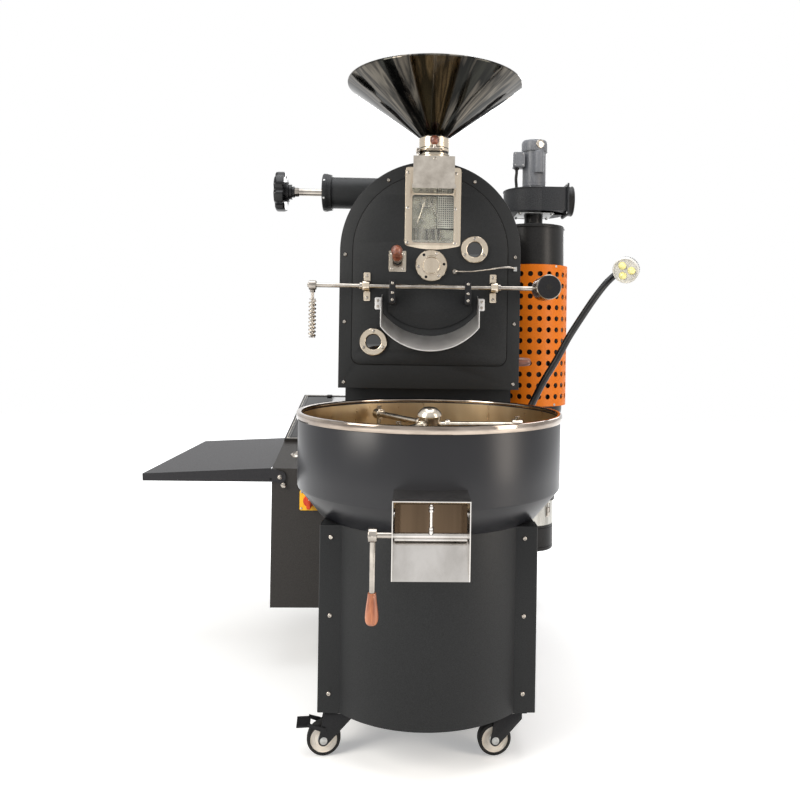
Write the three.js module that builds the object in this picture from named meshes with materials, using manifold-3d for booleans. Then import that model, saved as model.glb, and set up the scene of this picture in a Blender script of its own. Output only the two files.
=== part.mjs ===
import * as THREE from 'three';
import { mergeVertices } from 'three/addons/utils/BufferGeometryUtils.js';
import Module from 'manifold-3d';

// A shop coffee roaster on casters. Millimetres, +Z up, and the front faces -Y.
// While it is built, the floor is z = 0 and the cooling tray turns about the line x = 0, y = 0.

// Shared values
const seatGap = 0.3;
const overrun = 6;
const paintedSheet = 3;
const stainlessSheet = 2;
const roundSides = 24;
const mediumSides = 14;
const smallSides = 10;
const tinySides = 6;
const cordSides = 8;
const hexSides = 6;
const screwHeadHeight = 3;

// Casters
const casterHeight = 107;
const casterFrontY = -143;
const casterRearInset = 60;
const casterTurnDegrees = 6;
const casterTrail = 38;
const wheelRadius = 37.5;
const wheelWidth = 24;
const wheelBore = 5;
const wheelHubRadius = 13;
const wheelHubWidth = 28;
const wheelDish = 5;
const tyreDepth = 7;
const casterPlateSide = 64;
const casterPlateThickness = 3;
const bearingRaceRadius = 24;
const bearingRaceHeight = 6;
const forkCheek = 3;
const forkCheekClearance = 1.5;
const forkTopRadius = 22;
const forkLugRadius = 12;
const forkLugTurnShare = 1.7;
const axleHeadRadius = 7;
const axleHeadHeight = 4;
const pedalLength = 34;
const pedalWidth = 26;
const pedalThickness = 4;
const pedalPinRadius = 4;
const pedalRise = 26;

// Base frame and rear stand
const baseHalfWidth = 238;
const casterInset = 47;
const casterHalfTrack = baseHalfWidth - casterInset;
const baseFrontY = -175;
const baseDeckZ = 520;
const standFrontY = 330;
const standRearY = 840;
const standTopZ = 789;
const deckHoleRadius = 70;
const lampBossWidth = 34;
const lampBossHeight = 24;
const lampBossY = 337;
const lampBossZ = 590;

// Curved front cover
const coverBow = 24;
const coverRadius = baseHalfWidth + coverBow;
const coverFlangeY = -178;
const coverHalfWidth = baseHalfWidth + paintedSheet;
const coverReturnDepth = 46;

// Cooling tray
const trayRadius = 316;
const trayRimReach = 4;
const trayRimRadius = trayRadius + trayRimReach;
const trayRimTopZ = 757;
const trayRimHeight = 17;
const trayRimLip = 9;
const trayRimInnerReach = 8;
const trayRimInnerRadius = trayRadius - trayRimInnerReach;
const trayConeTopZ = 584;
const trayConeInset = 52;
const trayConeBottomRadius = trayRadius - trayConeInset;
const trayLedgeWidth = 16;
const trayFloorThickness = 3;
const trayFloorClearance = 1;
const trayHubHoleRadius = 24;
const stirrerShaftRadius = 15;
const stirrerArmZ = 722;
const stirrerArmRadius = 8;
const stirrerHubRadius = 27;
const stirrerHubHeight = 34;
const stirrerDomeRadius = 30;
const stirrerDomeHeight = 26;
const stirrerArmReach = [150, 215, 262];
const stirrerArmAngles = [-119, 1, 121];
const stirrerDropRadius = 6;
const paddleLength = 96;
const paddleHeight = 58;
const paddleThickness = 4;
const paddleFloorGap = 5;
const paddleTurnDegrees = 35;
const trayMotorSide = 120;
const trayMotorHeight = 92;
const trayMotorBodyRadius = 43;
const trayMotorBodyLength = 130;
const trayMotorBore = 16;

// Cooling fan in the base
const fanRadius = 118;
const fanWidth = 96;
const fanMotorRadius = 52;
const fanMotorLength = 88;
const fanInletRadius = 45;
const fanOffsetY = 120;
const fanDuctRadius = 50;

// Tray outlet
const outletWidth = 150;
const outletReach = 100;
const outletFrontY = -trayRadius - outletReach;
const outletTopZ = 627;
const outletBottomZ = 475;
const outletBendReach = 52;
const outletBendY = -trayRadius - outletBendReach;
const outletBendZ = 541;
const outletMouthHalfWidth = 68;
const outletMouthHeight = 32;
const outletMouthRise = 3;
const gateShaftReach = 64;
const gateShaftY = -trayRadius - gateShaftReach;
const gateShaftZ = 553;
const gateShaftRadius = 6;
const gateFlapHeight = 62;
const gateFlapSideGap = 2.5;
const gateLinkRadius = 3;
const gateNutRadius = 6;
const gateNutHeight = 5;
const leverHubLength = 17;
const leverHubRadius = 14;
const leverHubGap = 29;
const leverRodRadius = 5.5;
const leverRodLength = 89;
const leverGripLength = 63;
const leverGripRadius = 13;
const leverGripNeckRadius = 8;
const leverGripEndShare = 0.6;
const leverGripShares = { bottom: 0.97, belly: 0.8, waist: 0.6, neck: 0.1 };
const leverGripWaistShare = 0.95;

// Face plate of the roasting drum
const faceY = 259;
const faceThickness = 20;
const housingInset = 4;
const housingHalfWidth = baseHalfWidth - housingInset;
const faceSideReach = 18;
const faceHalfWidth = housingHalfWidth + faceSideReach;
const faceArchRise = 382;
const faceArchZ = standTopZ + faceArchRise;
const panelRaise = 4;
const panelInset = 37;
const panelBottomZ = 856;
const panelCornerRadius = 26;

// Drum and its housing
const drumAxisX = 2.5;
const drumAxisDrop = 38.5;
const drumAxisZ = faceArchZ - drumAxisDrop;
const housingRearY = 800;
const housingWall = 18;
const drumSideGap = 21;
const drumRadius = housingHalfWidth - housingWall - drumSideGap;
const drumFrontGap = 8;
const drumLength = 470;
const drumWall = 5;
const drumVaneHeight = 36;
const drumVaneThickness = 4;
const drumVaneCount = 4;
const drumShaftRadius = 15;
const drumShaftClearance = 0.8;
const drumShaftRearReach = 30;
const bearingCoverRadius = 43.5;
const bearingCoverHeight = 9;
const bearingBossRadius = 27.3;
const bearingBossHeight = 13;
const bearingRecessRadius = 22;
const bearingRecessDepth = 7;
const drumMotorSide = 116;
const drumMotorDepth = 92;
const drumMotorRadius = 58;
const drumMotorLength = 170;
const burnerTubeRadius = 14;
const burnerTubeLength = 400;
const burnerTubeSpacing = 90;
const burnerTubeRise = 40;
const burnerManifoldRadius = 12;
const burnerInletRadius = 9;
const burnerInletReach = 40;
const burnerStartInset = 40;
const burnerFootWidth = 16;

// Sight glasses, thermocouple and sampler on the face
const sightPlaces = { upper: [122, 1178.6], lower: [-155, 918] };
const sightRadius = 37.4;
const sightGlassRadius = 22;
const sightHeight = 9;
const sightGlassThickness = 4;
const sightBoreRadius = 18;
const probeX = 68;
const probeZ = 1116.6;
const probeRadius = 3;
const probeDepth = 66;
const probeNutRadius = 8.4;
const probeNutHeight = 12;
const sheathRadius = 2.3;
const sheathRun = [
  [68, 247, 1116.6], [69, 239, 1116.6], [82, 234, 1116], [110, 233, 1116], [150, 234, 1121], [194, 236, 1128],
  [217, 237, 1129.7], [229, 240, 1128], [235, 248, 1126.5], [236, 260, 1126], [236, 274, 1126],
];
const samplerX = -91.5;
const samplerZ = 1143;
const samplerTiltDegrees = 15;
const samplerTubeRadius = 9;
const samplerTubeReach = 120;
const samplerGripLength = 72;
const samplerGripStart = 24;
const samplerBallRadius = 15.3;
const samplerWaistRadius = 9.5;
const samplerTipShare = 0.9;
const samplerBallDegrees = [30, 60, 90, 120];
const samplerPlateWidth = 48;
const samplerPlateHeight = 58;

// Discharge door
const doorShaftY = 217;
const doorShaftZ = 1070.7;
const doorShaftRadius = 6;
const doorShaftLeftX = -334;
const doorShaftRightX = 300;
const doorHalfWidth = 117;
const doorTopZ = 1062;
const doorSideZ = 1004;
const doorBottomZ = 956;
const doorThickness = 4;
const doorHoleInset = 12;
const doorHoleTopDrop = 14;
const bracketHalfSpacing = 103;
const bracketWidth = 17;
const bracketTopZ = 1087;
const bracketBottomZ = 1022;
const bracketFrontGap = 6;
const strapHalfSpacing = 175;
const strapWidth = 18;
const strapHalfHeight = 39.5;
const strapThickness = 4;
const strapBlockHalfHeight = 15;
const strapBlockFront = 12;
const lipHalfWidth = 134;
const lipTopZ = 1050;
const lipSideZ = 1000;
const lipBottomZ = 934;
const lipDepth = 70;
const lipDrop = 39;
const lipWall = 2.5;
const lipEarWidth = 20;
const lipEarHeight = 34;
const lipEarDrop = 8;

// Door handle and counterweight
const handleX = -320;
const handleHubRadius = 13;
const handleHubLength = 20;
const handleRodRadius = 4;
const springWireRadius = 3;
const springCoilRadius = 7.5;
const springPitch = 10.4;
const springCurls = 9;
const springStepsPerCurl = 8;
const springWireSides = 5;
const springTopDrop = 30;
const handleStopRadius = 9;
const handleStopHeight = 3;
const weightX = 312;
const weightRadius = 33;
const weightFrontReach = 85;
const weightRearReach = 13;

// Hopper, feed gate, inlet box and window
const chuteX = 5;
const hopperAxisY = 214;
const hopperRadius = 237;
const hopperRimRadius = 3;
const hopperThroatRadius = 35;
const neckRadius = 40.5;
const inletRise = 160;
const inletBottomZ = faceArchZ + inletRise;
const inletHeight = 87;
const inletTopZ = inletBottomZ + inletHeight;
const neckHeight = 57;
const hopperThroatZ = inletTopZ + neckHeight;
const hopperHeight = 147;
const hopperTopZ = hopperThroatZ + hopperHeight;
const inletWidth = 111;
const inletFrontY = 169;
const inletLipHeight = 11;
const inletLipReach = 3;
const gateRise = 13;
const gateZ = inletTopZ + gateRise;
const gateThickness = 3;
const gateSlotHeight = 5;
const gateTabHalfWidth = 22;
const gateTabReach = 72;
const gateRodRadius = 4;
const gateRodInset = 8;
const gateRodRise = 12;
const gateKnobRadius = 12.3;
const frameWidth = 155;
const frameTopDrop = 12;
const frameTopZ = inletTopZ - frameTopDrop;
const frameBow = 5;
const frameCornerRadius = 9;
const windowWidth = 116;
const windowTopDrop = 2;
const windowTopZ = inletBottomZ - windowTopDrop;
const windowHeight = 133;
const windowBottomZ = windowTopZ - windowHeight;
const frameSill = 10;
const frameBottomZ = windowBottomZ - frameSill;
const windowCornerRadius = 8;
const windowGlassThickness = 5;
const chuteHoleWidth = 90;
const chuteHoleTopDrop = 22;
const chuteHoleTopZ = inletTopZ - chuteHoleTopDrop;
const chuteHoleSill = 9;
const chuteHoleBottomZ = inletBottomZ + chuteHoleSill;

// Smoke pipe, damper and handwheel
const smokeY = 512;
const smokeRise = 205;
const smokeZ = faceArchZ + smokeRise;
const smokeRadius = 48;
const smokeWall = 3;
const smokeReach = 70;
const smokeEndX = -housingHalfWidth - smokeReach;
const smokeRingRadius = 58;
const smokeRingLength = 28;
const smokeRingStep = 10;
const spindleRadius = 11;
const spindleReach = 117;
const spindleOuterX = smokeEndX - spindleReach;
const damperPlugInset = 54;
const damperPlugX = smokeEndX + damperPlugInset;
const damperPlugRadius = 43;
const damperPlugThickness = 8;
const wheelNutRadius = 14;
const wheelNutLength = 14;
const handwheelReach = 26;
const handwheelX = spindleOuterX - handwheelReach;
const handwheelRadius = 61.5;
const handwheelRimWidth = 30;
const handwheelLobes = 7;
const handwheelLobeShare = 0.1;
const handwheelHubSteps = [[30, 0], [30, 10], [23, 10], [23, 19], [17, 19], [17, 27]];

// Cyclone, heat shield, blower and chaff bin
const shieldOuterRadius = 118;
const shieldSideGap = 8;
const cycloneX = housingHalfWidth + shieldOuterRadius + shieldSideGap;
const cycloneY = 750;
const cycloneRadius = 105;
const cycloneTopZ = 1314;
const cycloneConeTopZ = 690;
const cycloneConeBottomZ = 391;
const cycloneConeBottomRadius = 52;
const cycloneWall = 3;
const shieldWall = 2.5;
const shieldBottomRise = 17;
const shieldBottomZ = cycloneConeTopZ + shieldBottomRise;
const shieldTopDrop = 137;
const shieldTopZ = cycloneTopZ - shieldTopDrop;
const shieldRingHeight = 8;
const binRadius = 81;
const binBottomZ = 216;
const binLidRadius = 86;
const ductHalfDepth = 40;
const ductTopDrop = 14;
const ductTopZ = cycloneTopZ - ductTopDrop;
const ductHeight = 64;
const ductBottomZ = ductTopZ - ductHeight;
const ductOverlap = 40;
const cycloneFootZ = 600;
const cycloneFootHeight = 90;
const cycloneFootDepth = 90;
const risePipeRadius = 32;
const blowerRise = 43;
const blowerBottomZ = cycloneTopZ + blowerRise;
const blowerHeight = 79;
const blowerTopZ = blowerBottomZ + blowerHeight;
const blowerRadius = 104;
const blowerOutletWidth = 92;
const blowerOutletReach = 96;
const blowerFlangeX = cycloneX + blowerOutletReach;
const blowerFlangeSide = 106;
const blowerFlangeThickness = 6;
const blowerFlangeRise = 13;
const blowerFlangeTopZ = blowerTopZ + blowerFlangeRise;
const blowerPlateSide = 124;
const motorRadius = 40.5;
const motorHeight = 135;
const motorTopZ = blowerTopZ + motorHeight;
const motorCapRadius = 45;
const motorCapHeight = 40;
const motorCapTopZ = motorTopZ + motorCapHeight;
const motorFootRadius = 56;
const motorFootHeight = 8;
const terminalBoxOffset = 57;
const terminalBoxX = cycloneX - terminalBoxOffset;
const terminalBoxWidth = 40;
const terminalBoxDepth = 44;
const terminalBoxY = 730;
const terminalBoxRise = 77;
const terminalBoxZ = blowerTopZ + terminalBoxRise;
const terminalBoxHeight = 52;
const capacitorOffset = 10;
const capacitorX = cycloneX + capacitorOffset;
const capacitorY = 714;
const capacitorRadius = 18;
const capacitorRise = 58;
const capacitorZ = blowerTopZ + capacitorRise;
const capacitorHeight = 77;
const glandRadius = 9;
const glandHeight = 7;
const cableRadius = 5;
const cableBow = 2;
const cableEndShare = 0.15;
const cableSteps = 8;

// Control cabinet
const cabinetReach = 193;
const cabinetLeftX = -baseHalfWidth - cabinetReach;
const cabinetFrontY = 259;
const cabinetRearY = 859;
const cabinetBottomZ = 177;
const cabinetFrontTopZ = 563;
const cabinetRearTopZ = 715;
const cabinetHoleRadius = 30;
const bezelStartY = 447;
const bezelEndY = 842;
const bezelRaise = 7;
const bezelRightInset = 12;
const bezelFrame = 16;
const screenThickness = 3;
const buttonInset = 54;
const buttonX = cabinetLeftX + buttonInset;
const buttonY = 351;
const buttonRadius = 11;
const buttonRingRadius = 14.5;
const buttonRingHeight = 3;
const buttonHeight = 9;
const buttonStem = 5;
const buttonBore = 8;
const switchInset = 106;
const switchX = cabinetLeftX + switchInset;
const switchZ = 476;
const switchPlateSide = 56;
const switchPlateThickness = 3;
const switchHubRadius = 17;
const switchHubLength = 10;
const switchBarLength = 42;
const switchBarWidth = 12;
const switchBarHeight = 12;
const switchStemRadius = 5;
const switchStemLength = 8;

// Folding side shelf
const shelfWidth = 350;
const shelfTopZ = 566;
const shelfGap = 2.5;
const shelfFrontY = 253;
const shelfRearY = 865;
const shelfSheet = 2;
const shelfInnerFlange = 38;
const shelfOuterFlange = 20;
const shelfPivotInset = 23;
const shelfPivotX = cabinetLeftX + shelfPivotInset;
const shelfPivotZ = 540;
const shelfPivotRadius = 5;
const shelfTongueRadius = 17;
const tongueTurnShares = [1.25, 2.35];
const shelfDroopDegrees = 2.9;
const shelfStudHeight = 6;

// Work lamp
const lampNeckRadius = 10.5;
const lampFootRadius = 15;
const lampFootHeight = 10;
const lampRun = [
  [255, 337, 632], [262, 337, 652], [276, 337, 686], [301, 337, 741], [334, 337, 808], [373, 337, 875],
  [407, 337, 939], [447, 337, 1003], [481, 338, 1054], [514, 344, 1096], [544, 355, 1124], [570, 364, 1146],
  [588, 360, 1158], [592, 349, 1159], [579, 326, 1149],
];
const lampHeadRadius = 37;
const lampHeadDepth = 24;
const lampRearRadius = 24;
const lampRearDepth = 34;
const lampBallRadius = 13;
const lampSocketGap = 0.9;
const lampAim = [-0.45, -0.82, -0.35];
const lampLedRadius = 11.5;
const lampLedRing = 17;
const lampLedHeight = 7;

// Air valve pull on the right side
const airPullY = 360;
const airPullZ = 864;
const airRodRadius = 5;
const airRodInner = 30;
const airGripRadius = 13.5;
const airGripLength = 52;
const airGripReach = 65;
const airGripEndX = housingHalfWidth + airGripReach;
const airGripNeckShare = 0.8;
const airGripEndShare = 0.75;
const airGripShares = { shoulder: 0.2, belly: 0.7, end: 0.93 };

const wasm = await Module();
wasm.setup();

const paint = {
  blackTexture: [0x2b2a29, 0.7, 0.3],
  cabinetPaint: [0x4e4a46, 0.6, 0.3],
  stainless: [0xcdbeaa, 0.25, 1.0],
  warmSteel: [0xaa9673, 0.4, 1.0],
  chromed: [0xd8d8d8, 0.15, 1.0],
  zinc: [0xa7a9ab, 0.4, 0.9],
  castIron: [0x3a3a3b, 0.7, 0.5],
  motorGrey: [0x7d7f82, 0.5, 0.4],
  orange: [0xc8640f, 0.5, 0.2],
  wood: [0x8a4a2c, 0.5, 0.0],
  lightWood: [0xbe6e46, 0.5, 0.0],
  rubber: [0x161616, 0.85, 0.0],
  cream: [0xe6dccb, 0.5, 0.0],
  glassTint: [0xbfc6c4, 0.1, 0.0],
  plastic: [0x1b1b1c, 0.45, 0.0],
  red: [0xb0301c, 0.45, 0.0],
  pale: [0xe8e4da, 0.3, 0.1],
};

const roaster = new THREE.Group();
const xAxis = new THREE.Vector3(1, 0, 0);
const yAxis = new THREE.Vector3(0, 1, 0);
const zAxis = new THREE.Vector3(0, 0, 1);
const degrees = Math.PI / 180;

// Shape helpers. Each returns a closed geometry.

function toSolid(geometry) {
  const bare = geometry.clone();
  bare.deleteAttribute('normal');
  bare.deleteAttribute('uv');
  const merged = mergeVertices(bare);
  const corners = merged.attributes.position.array;
  const triangles = [];
  const index = merged.index.array;
  for (let i = 0; i < index.length; i += 3) {
    const [a, b, c] = [index[i], index[i + 1], index[i + 2]];
    if (a !== b && b !== c && c !== a) triangles.push(a, b, c);
  }
  let volume = 0;
  const [p, q, r] = [new THREE.Vector3(), new THREE.Vector3(), new THREE.Vector3()];
  for (let i = 0; i < triangles.length; i += 3) {
    p.fromArray(corners, 3 * triangles[i]);
    q.fromArray(corners, 3 * triangles[i + 1]);
    r.fromArray(corners, 3 * triangles[i + 2]);
    volume += p.dot(q.cross(r));
  }
  if (volume < 0) triangles.reverse();
  return new wasm.Manifold(new wasm.Mesh({
    numProp: 3,
    vertProperties: Float32Array.from(corners),
    triVerts: Uint32Array.from(triangles),
  }));
}

function toGeometry(solid) {
  const mesh = solid.getMesh();
  const geometry = new THREE.BufferGeometry();
  geometry.setAttribute('position', new THREE.BufferAttribute(Float32Array.from(mesh.vertProperties), 3));
  geometry.setIndex(Array.from(mesh.triVerts));
  geometry.computeVertexNormals();
  return geometry;
}

function join(...pieces) {
  let solid = toSolid(pieces[0]);
  for (const piece of pieces.slice(1)) solid = solid.add(toSolid(piece));
  return toGeometry(solid);
}

function cut(piece, ...tools) {
  let solid = toSolid(piece);
  for (const tool of tools) solid = solid.subtract(toSolid(tool));
  return toGeometry(solid);
}

function shift(geometry, x, y, z) {
  return geometry.translate(x, y, z);
}

// A block between two corners.
function block(x0, x1, y0, y1, z0, z1) {
  const geometry = new THREE.BoxGeometry(x1 - x0, y1 - y0, z1 - z0);
  return shift(geometry, (x0 + x1) / 2, (y0 + y1) / 2, (z0 + z1) / 2);
}

// A cylinder that starts at a point and runs along an axis.
function rod(radius, length, axis, x, y, z, sides = smallSides) {
  const geometry = new THREE.CylinderGeometry(radius, radius, length, sides);
  geometry.translate(0, length / 2, 0);
  geometry.applyQuaternion(new THREE.Quaternion().setFromUnitVectors(yAxis, axis));
  return shift(geometry, x, y, z);
}

// A profile of [radius, height] pairs turned about Z, and then laid along another axis.
function turned(profile, sides, axis = zAxis) {
  const points = profile.map(([radius, height]) => new THREE.Vector2(radius, height));
  const geometry = new THREE.LatheGeometry(points, sides);
  geometry.applyQuaternion(new THREE.Quaternion().setFromUnitVectors(yAxis, axis));
  return geometry;
}

function closed(profile) {
  return [...profile, profile[0]];
}

function polygon(points) {
  return new THREE.Shape(points.map(([a, b]) => new THREE.Vector2(a, b)));
}

// A shape drawn in X and Z, filling Y from y0 to y1.
function upright(shape, y0, y1, sides = smallSides) {
  const geometry = new THREE.ExtrudeGeometry(shape, {
    depth: y1 - y0, bevelEnabled: false, curveSegments: sides,
  });
  geometry.rotateX(Math.PI / 2);
  return shift(geometry, 0, y1, 0);
}

// A shape drawn in X and Y, filling Z from z0 to z1.
function level(shape, z0, z1, sides = mediumSides) {
  const geometry = new THREE.ExtrudeGeometry(shape, {
    depth: z1 - z0, bevelEnabled: false, curveSegments: sides,
  });
  return shift(geometry, 0, 0, z0);
}

// A shape drawn in Y and Z, filling X from x0 to x1.
function sideways(shape, x0, x1, sides = smallSides) {
  const geometry = new THREE.ExtrudeGeometry(shape, {
    depth: x1 - x0, bevelEnabled: false, curveSegments: sides,
  });
  geometry.applyMatrix4(new THREE.Matrix4().makeBasis(yAxis, zAxis, xAxis));
  return shift(geometry, x0, 0, 0);
}

// A round bar along a smooth run of points.
function bar(points, radius, steps, sides) {
  const section = new THREE.Shape();
  for (let i = 0; i < sides; i += 1) {
    const angle = (2 * Math.PI * i) / sides;
    if (i === 0) section.moveTo(radius * Math.cos(angle), radius * Math.sin(angle));
    else section.lineTo(radius * Math.cos(angle), radius * Math.sin(angle));
  }
  const path = new THREE.CatmullRomCurve3(points.map(([x, y, z]) => new THREE.Vector3(x, y, z)));
  return new THREE.ExtrudeGeometry(section, { steps, bevelEnabled: false, extrudePath: path });
}

function roundedRect(x0, x1, z0, z1, radius) {
  const shape = new THREE.Shape();
  shape.moveTo(x0 + radius, z0);
  shape.lineTo(x1 - radius, z0);
  shape.absarc(x1 - radius, z0 + radius, radius, -Math.PI / 2, 0, false);
  shape.lineTo(x1, z1 - radius);
  shape.absarc(x1 - radius, z1 - radius, radius, 0, Math.PI / 2, false);
  shape.lineTo(x0 + radius, z1);
  shape.absarc(x0 + radius, z1 - radius, radius, Math.PI / 2, Math.PI, false);
  shape.lineTo(x0, z0 + radius);
  shape.absarc(x0 + radius, z0 + radius, radius, Math.PI, 1.5 * Math.PI, false);
  return shape;
}

// An upright slab with a half round top, as the drum housing has in section.
function archShape(halfWidth, bottomZ, centreZ) {
  const shape = new THREE.Shape();
  shape.moveTo(-halfWidth, bottomZ);
  shape.lineTo(halfWidth, bottomZ);
  shape.lineTo(halfWidth, centreZ);
  shape.absarc(0, centreZ, halfWidth, 0, Math.PI, false);
  return shape;
}

// A straight-sided tongue with an arc along the bottom.
function scoopShape(halfWidth, topZ, sideZ, bottomZ) {
  const drop = sideZ - bottomZ;
  const radius = (halfWidth * halfWidth + drop * drop) / (2 * drop);
  const reach = Math.asin(halfWidth / radius);
  const shape = new THREE.Shape();
  shape.moveTo(halfWidth, topZ);
  shape.lineTo(-halfWidth, topZ);
  shape.lineTo(-halfWidth, sideZ);
  shape.absarc(0, bottomZ + radius, radius, -Math.PI / 2 - reach, -Math.PI / 2 + reach, false);
  return shape;
}

function piece(name, geometry, finish, parent = roaster) {
  const [color, roughness, metalness] = paint[finish];
  const material = new THREE.MeshStandardMaterial({ color, roughness, metalness });
  const mesh = new THREE.Mesh(toGeometry(toSolid(geometry)), material);
  mesh.name = name;
  parent.add(mesh);
  return mesh;
}

function group(x, y, z, parent = roaster) {
  const inner = new THREE.Group();
  inner.position.set(x, y, z);
  parent.add(inner);
  return inner;
}

// Casters: the front pair swivels, and the rear pair has fixed forks.

const forkInnerHalf = wheelHubWidth / 2 + forkCheekClearance;
const forkOuterHalf = forkInnerHalf + forkCheek;
const forkTopZ = casterHeight - casterPlateThickness - bearingRaceHeight - seatGap;
const forkTopThickness = forkCheek + seatGap;
const casterRearY = standRearY - casterRearInset;

function casterWheel() {
  const half = wheelWidth / 2;
  const hubHalf = wheelHubWidth / 2;
  const rimRadius = wheelRadius - tyreDepth;
  return turned(closed([
    [wheelBore, -hubHalf], [wheelHubRadius, -hubHalf], [wheelHubRadius, wheelDish - half],
    [rimRadius, wheelDish - half], [rimRadius, -half], [wheelRadius, wheelDish / 2 - half],
    [wheelRadius, half - wheelDish / 2], [rimRadius, half], [rimRadius, half - wheelDish],
    [wheelHubRadius, half - wheelDish], [wheelHubRadius, hubHalf], [wheelBore, hubHalf],
  ]), mediumSides, yAxis);
}

// The fork's own frame has the swivel line through its origin and the wheel at x = -casterTrail.
function casterFork(topZ) {
  const cheek = new THREE.Shape();
  cheek.moveTo(-casterTrail - forkLugRadius, wheelRadius);
  cheek.absarc(-casterTrail, wheelRadius, forkLugRadius, Math.PI, forkLugTurnShare * Math.PI, false);
  cheek.lineTo(forkTopRadius, topZ - forkLugRadius);
  cheek.lineTo(forkTopRadius, topZ);
  cheek.lineTo(-casterTrail, topZ);
  const left = upright(cheek, -forkOuterHalf, -forkInnerHalf, tinySides);
  const right = upright(cheek, forkInnerHalf, forkOuterHalf, tinySides);
  const crown = block(
    -casterTrail, forkTopRadius, -forkOuterHalf, forkOuterHalf, topZ - forkTopThickness, topZ,
  );
  const axleHalf = forkOuterHalf + axleHeadHeight;
  const axle = rod(wheelBore - seatGap, 2 * axleHalf, yAxis, -casterTrail, -axleHalf, wheelRadius);
  const headNear = rod(axleHeadRadius, axleHeadHeight, yAxis, -casterTrail, -axleHalf, wheelRadius, hexSides);
  const headFar = rod(
    axleHeadRadius, axleHeadHeight, yAxis, -casterTrail, forkOuterHalf, wheelRadius, hexSides,
  );
  return join(left, right, crown, axle, headNear, headFar);
}

function casterPlate(x, y) {
  const half = casterPlateSide / 2;
  return block(x - half, x + half, y - half, y + half, casterHeight - casterPlateThickness, casterHeight);
}

function frontCasterMount(side) {
  const x = side * casterHalfTrack;
  const raceZ = casterHeight - casterPlateThickness - bearingRaceHeight;
  const race = rod(bearingRaceRadius, bearingRaceHeight, zAxis, x, casterFrontY, raceZ, mediumSides);
  return join(casterPlate(x, casterFrontY), race);
}

function makeCasters() {
  const fixedTop = casterHeight - casterPlateThickness;
  for (const [word, side] of [['left', -1], ['right', 1]]) {
    const swivel = group(side * casterHalfTrack, casterFrontY, 0);
    swivel.rotation.z = casterTurnDegrees * degrees;
    piece(`caster_fork_${word}`, casterFork(forkTopZ), 'blackTexture', swivel);
    const wheel = piece(`wheel_front_${word}`, casterWheel(), 'cream', swivel);
    wheel.position.set(-casterTrail, 0, wheelRadius);
    const fixed = casterFork(fixedTop).rotateZ(Math.PI / 2);
    fixed.translate(side * casterHalfTrack, casterRearY + casterTrail, 0);
    piece(
      `caster_bracket_${word}`, join(casterPlate(side * casterHalfTrack, casterRearY), fixed), 'blackTexture',
    );
    const rear = piece(`wheel_rear_${word}`, casterWheel(), 'cream');
    rear.rotation.z = Math.PI / 2;
    rear.position.set(side * casterHalfTrack, casterRearY, wheelRadius);
    if (side < 0) makePedal(swivel);
  }
}

// The brake pedal turns on two stub pins beside the fork's cheeks and lies over the wheel.
function makePedal(swivel) {
  const pinX = -casterTrail;
  const pinZ = wheelRadius + pedalRise;
  const armInner = forkOuterHalf + seatGap;
  const armOuter = armInner + forkCheek;
  const lift = wheelRadius + seatGap + 2 * pedalThickness;
  const arms = [-1, 1].map((side) => {
    const [near, far] = side < 0 ? [-armOuter, -armInner] : [armInner, armOuter];
    const outline = polygon([
      [pinX + pedalPinRadius, pinZ - pedalPinRadius], [pinX + pedalPinRadius, pinZ + pedalPinRadius],
      [pinX - pedalLength, wheelRadius + lift - pedalThickness],
      [pinX - pedalLength, wheelRadius + lift - 3 * pedalThickness],
      [pinX - pedalPinRadius, pinZ - pedalPinRadius],
    ]);
    return upright(outline, near, far);
  });
  const tread = block(
    pinX - pedalLength - pedalWidth, pinX - pedalLength + pedalThickness, -armOuter, armOuter,
    wheelRadius + lift - 3 * pedalThickness, wheelRadius + lift - 2 * pedalThickness,
  );
  piece('brake_pedal', join(...arms, tread), 'blackTexture', swivel);
}

// Base frame: a low front box under the tray and a taller stand under the drum housing.

function makeBaseFrame() {
  const w = baseHalfWidth;
  const s = paintedSheet;
  const bottom = block(-w, w, baseFrontY, standRearY, casterHeight, casterHeight + s);
  const lowSides = [-1, 1].map((side) => block(
    side < 0 ? -w : w - s, side < 0 ? -w + s : w, baseFrontY, standFrontY + s, casterHeight, baseDeckZ,
  ));
  const highSides = [-1, 1].map((side) => block(
    side < 0 ? -w : w - s, side < 0 ? -w + s : w, standFrontY, standRearY, casterHeight, standTopZ,
  ));
  const deck = block(-w, w, baseFrontY, standFrontY + s, baseDeckZ - s, baseDeckZ);
  const stop = block(-w, w, standFrontY, standFrontY + s, baseDeckZ - s, standTopZ);
  const back = block(-w, w, standRearY - s, standRearY, casterHeight, standTopZ);
  const top = block(-w, w, standFrontY, standRearY, standTopZ - s, standTopZ);
  const boss = block(
    w - s, w + lampBossWidth, lampBossY - lampBossHeight / 2, lampBossY + lampBossHeight / 2,
    lampBossZ, lampBossZ + lampBossHeight,
  );
  const hole = rod(deckHoleRadius, s + 2 * overrun, zAxis, 0, 0, baseDeckZ - s - overrun, mediumSides);
  const ductHole = rod(
    fanDuctRadius + seatGap, s + 2 * overrun, zAxis, 0, fanOffsetY, baseDeckZ - s - overrun, mediumSides,
  );
  const mounts = [-1, 1].map(frontCasterMount);
  const frame = join(bottom, ...lowSides, ...highSides, deck, stop, back, top, boss, ...mounts);
  piece('base_frame', cut(frame, hole, ductHole), 'blackTexture');
}

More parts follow.
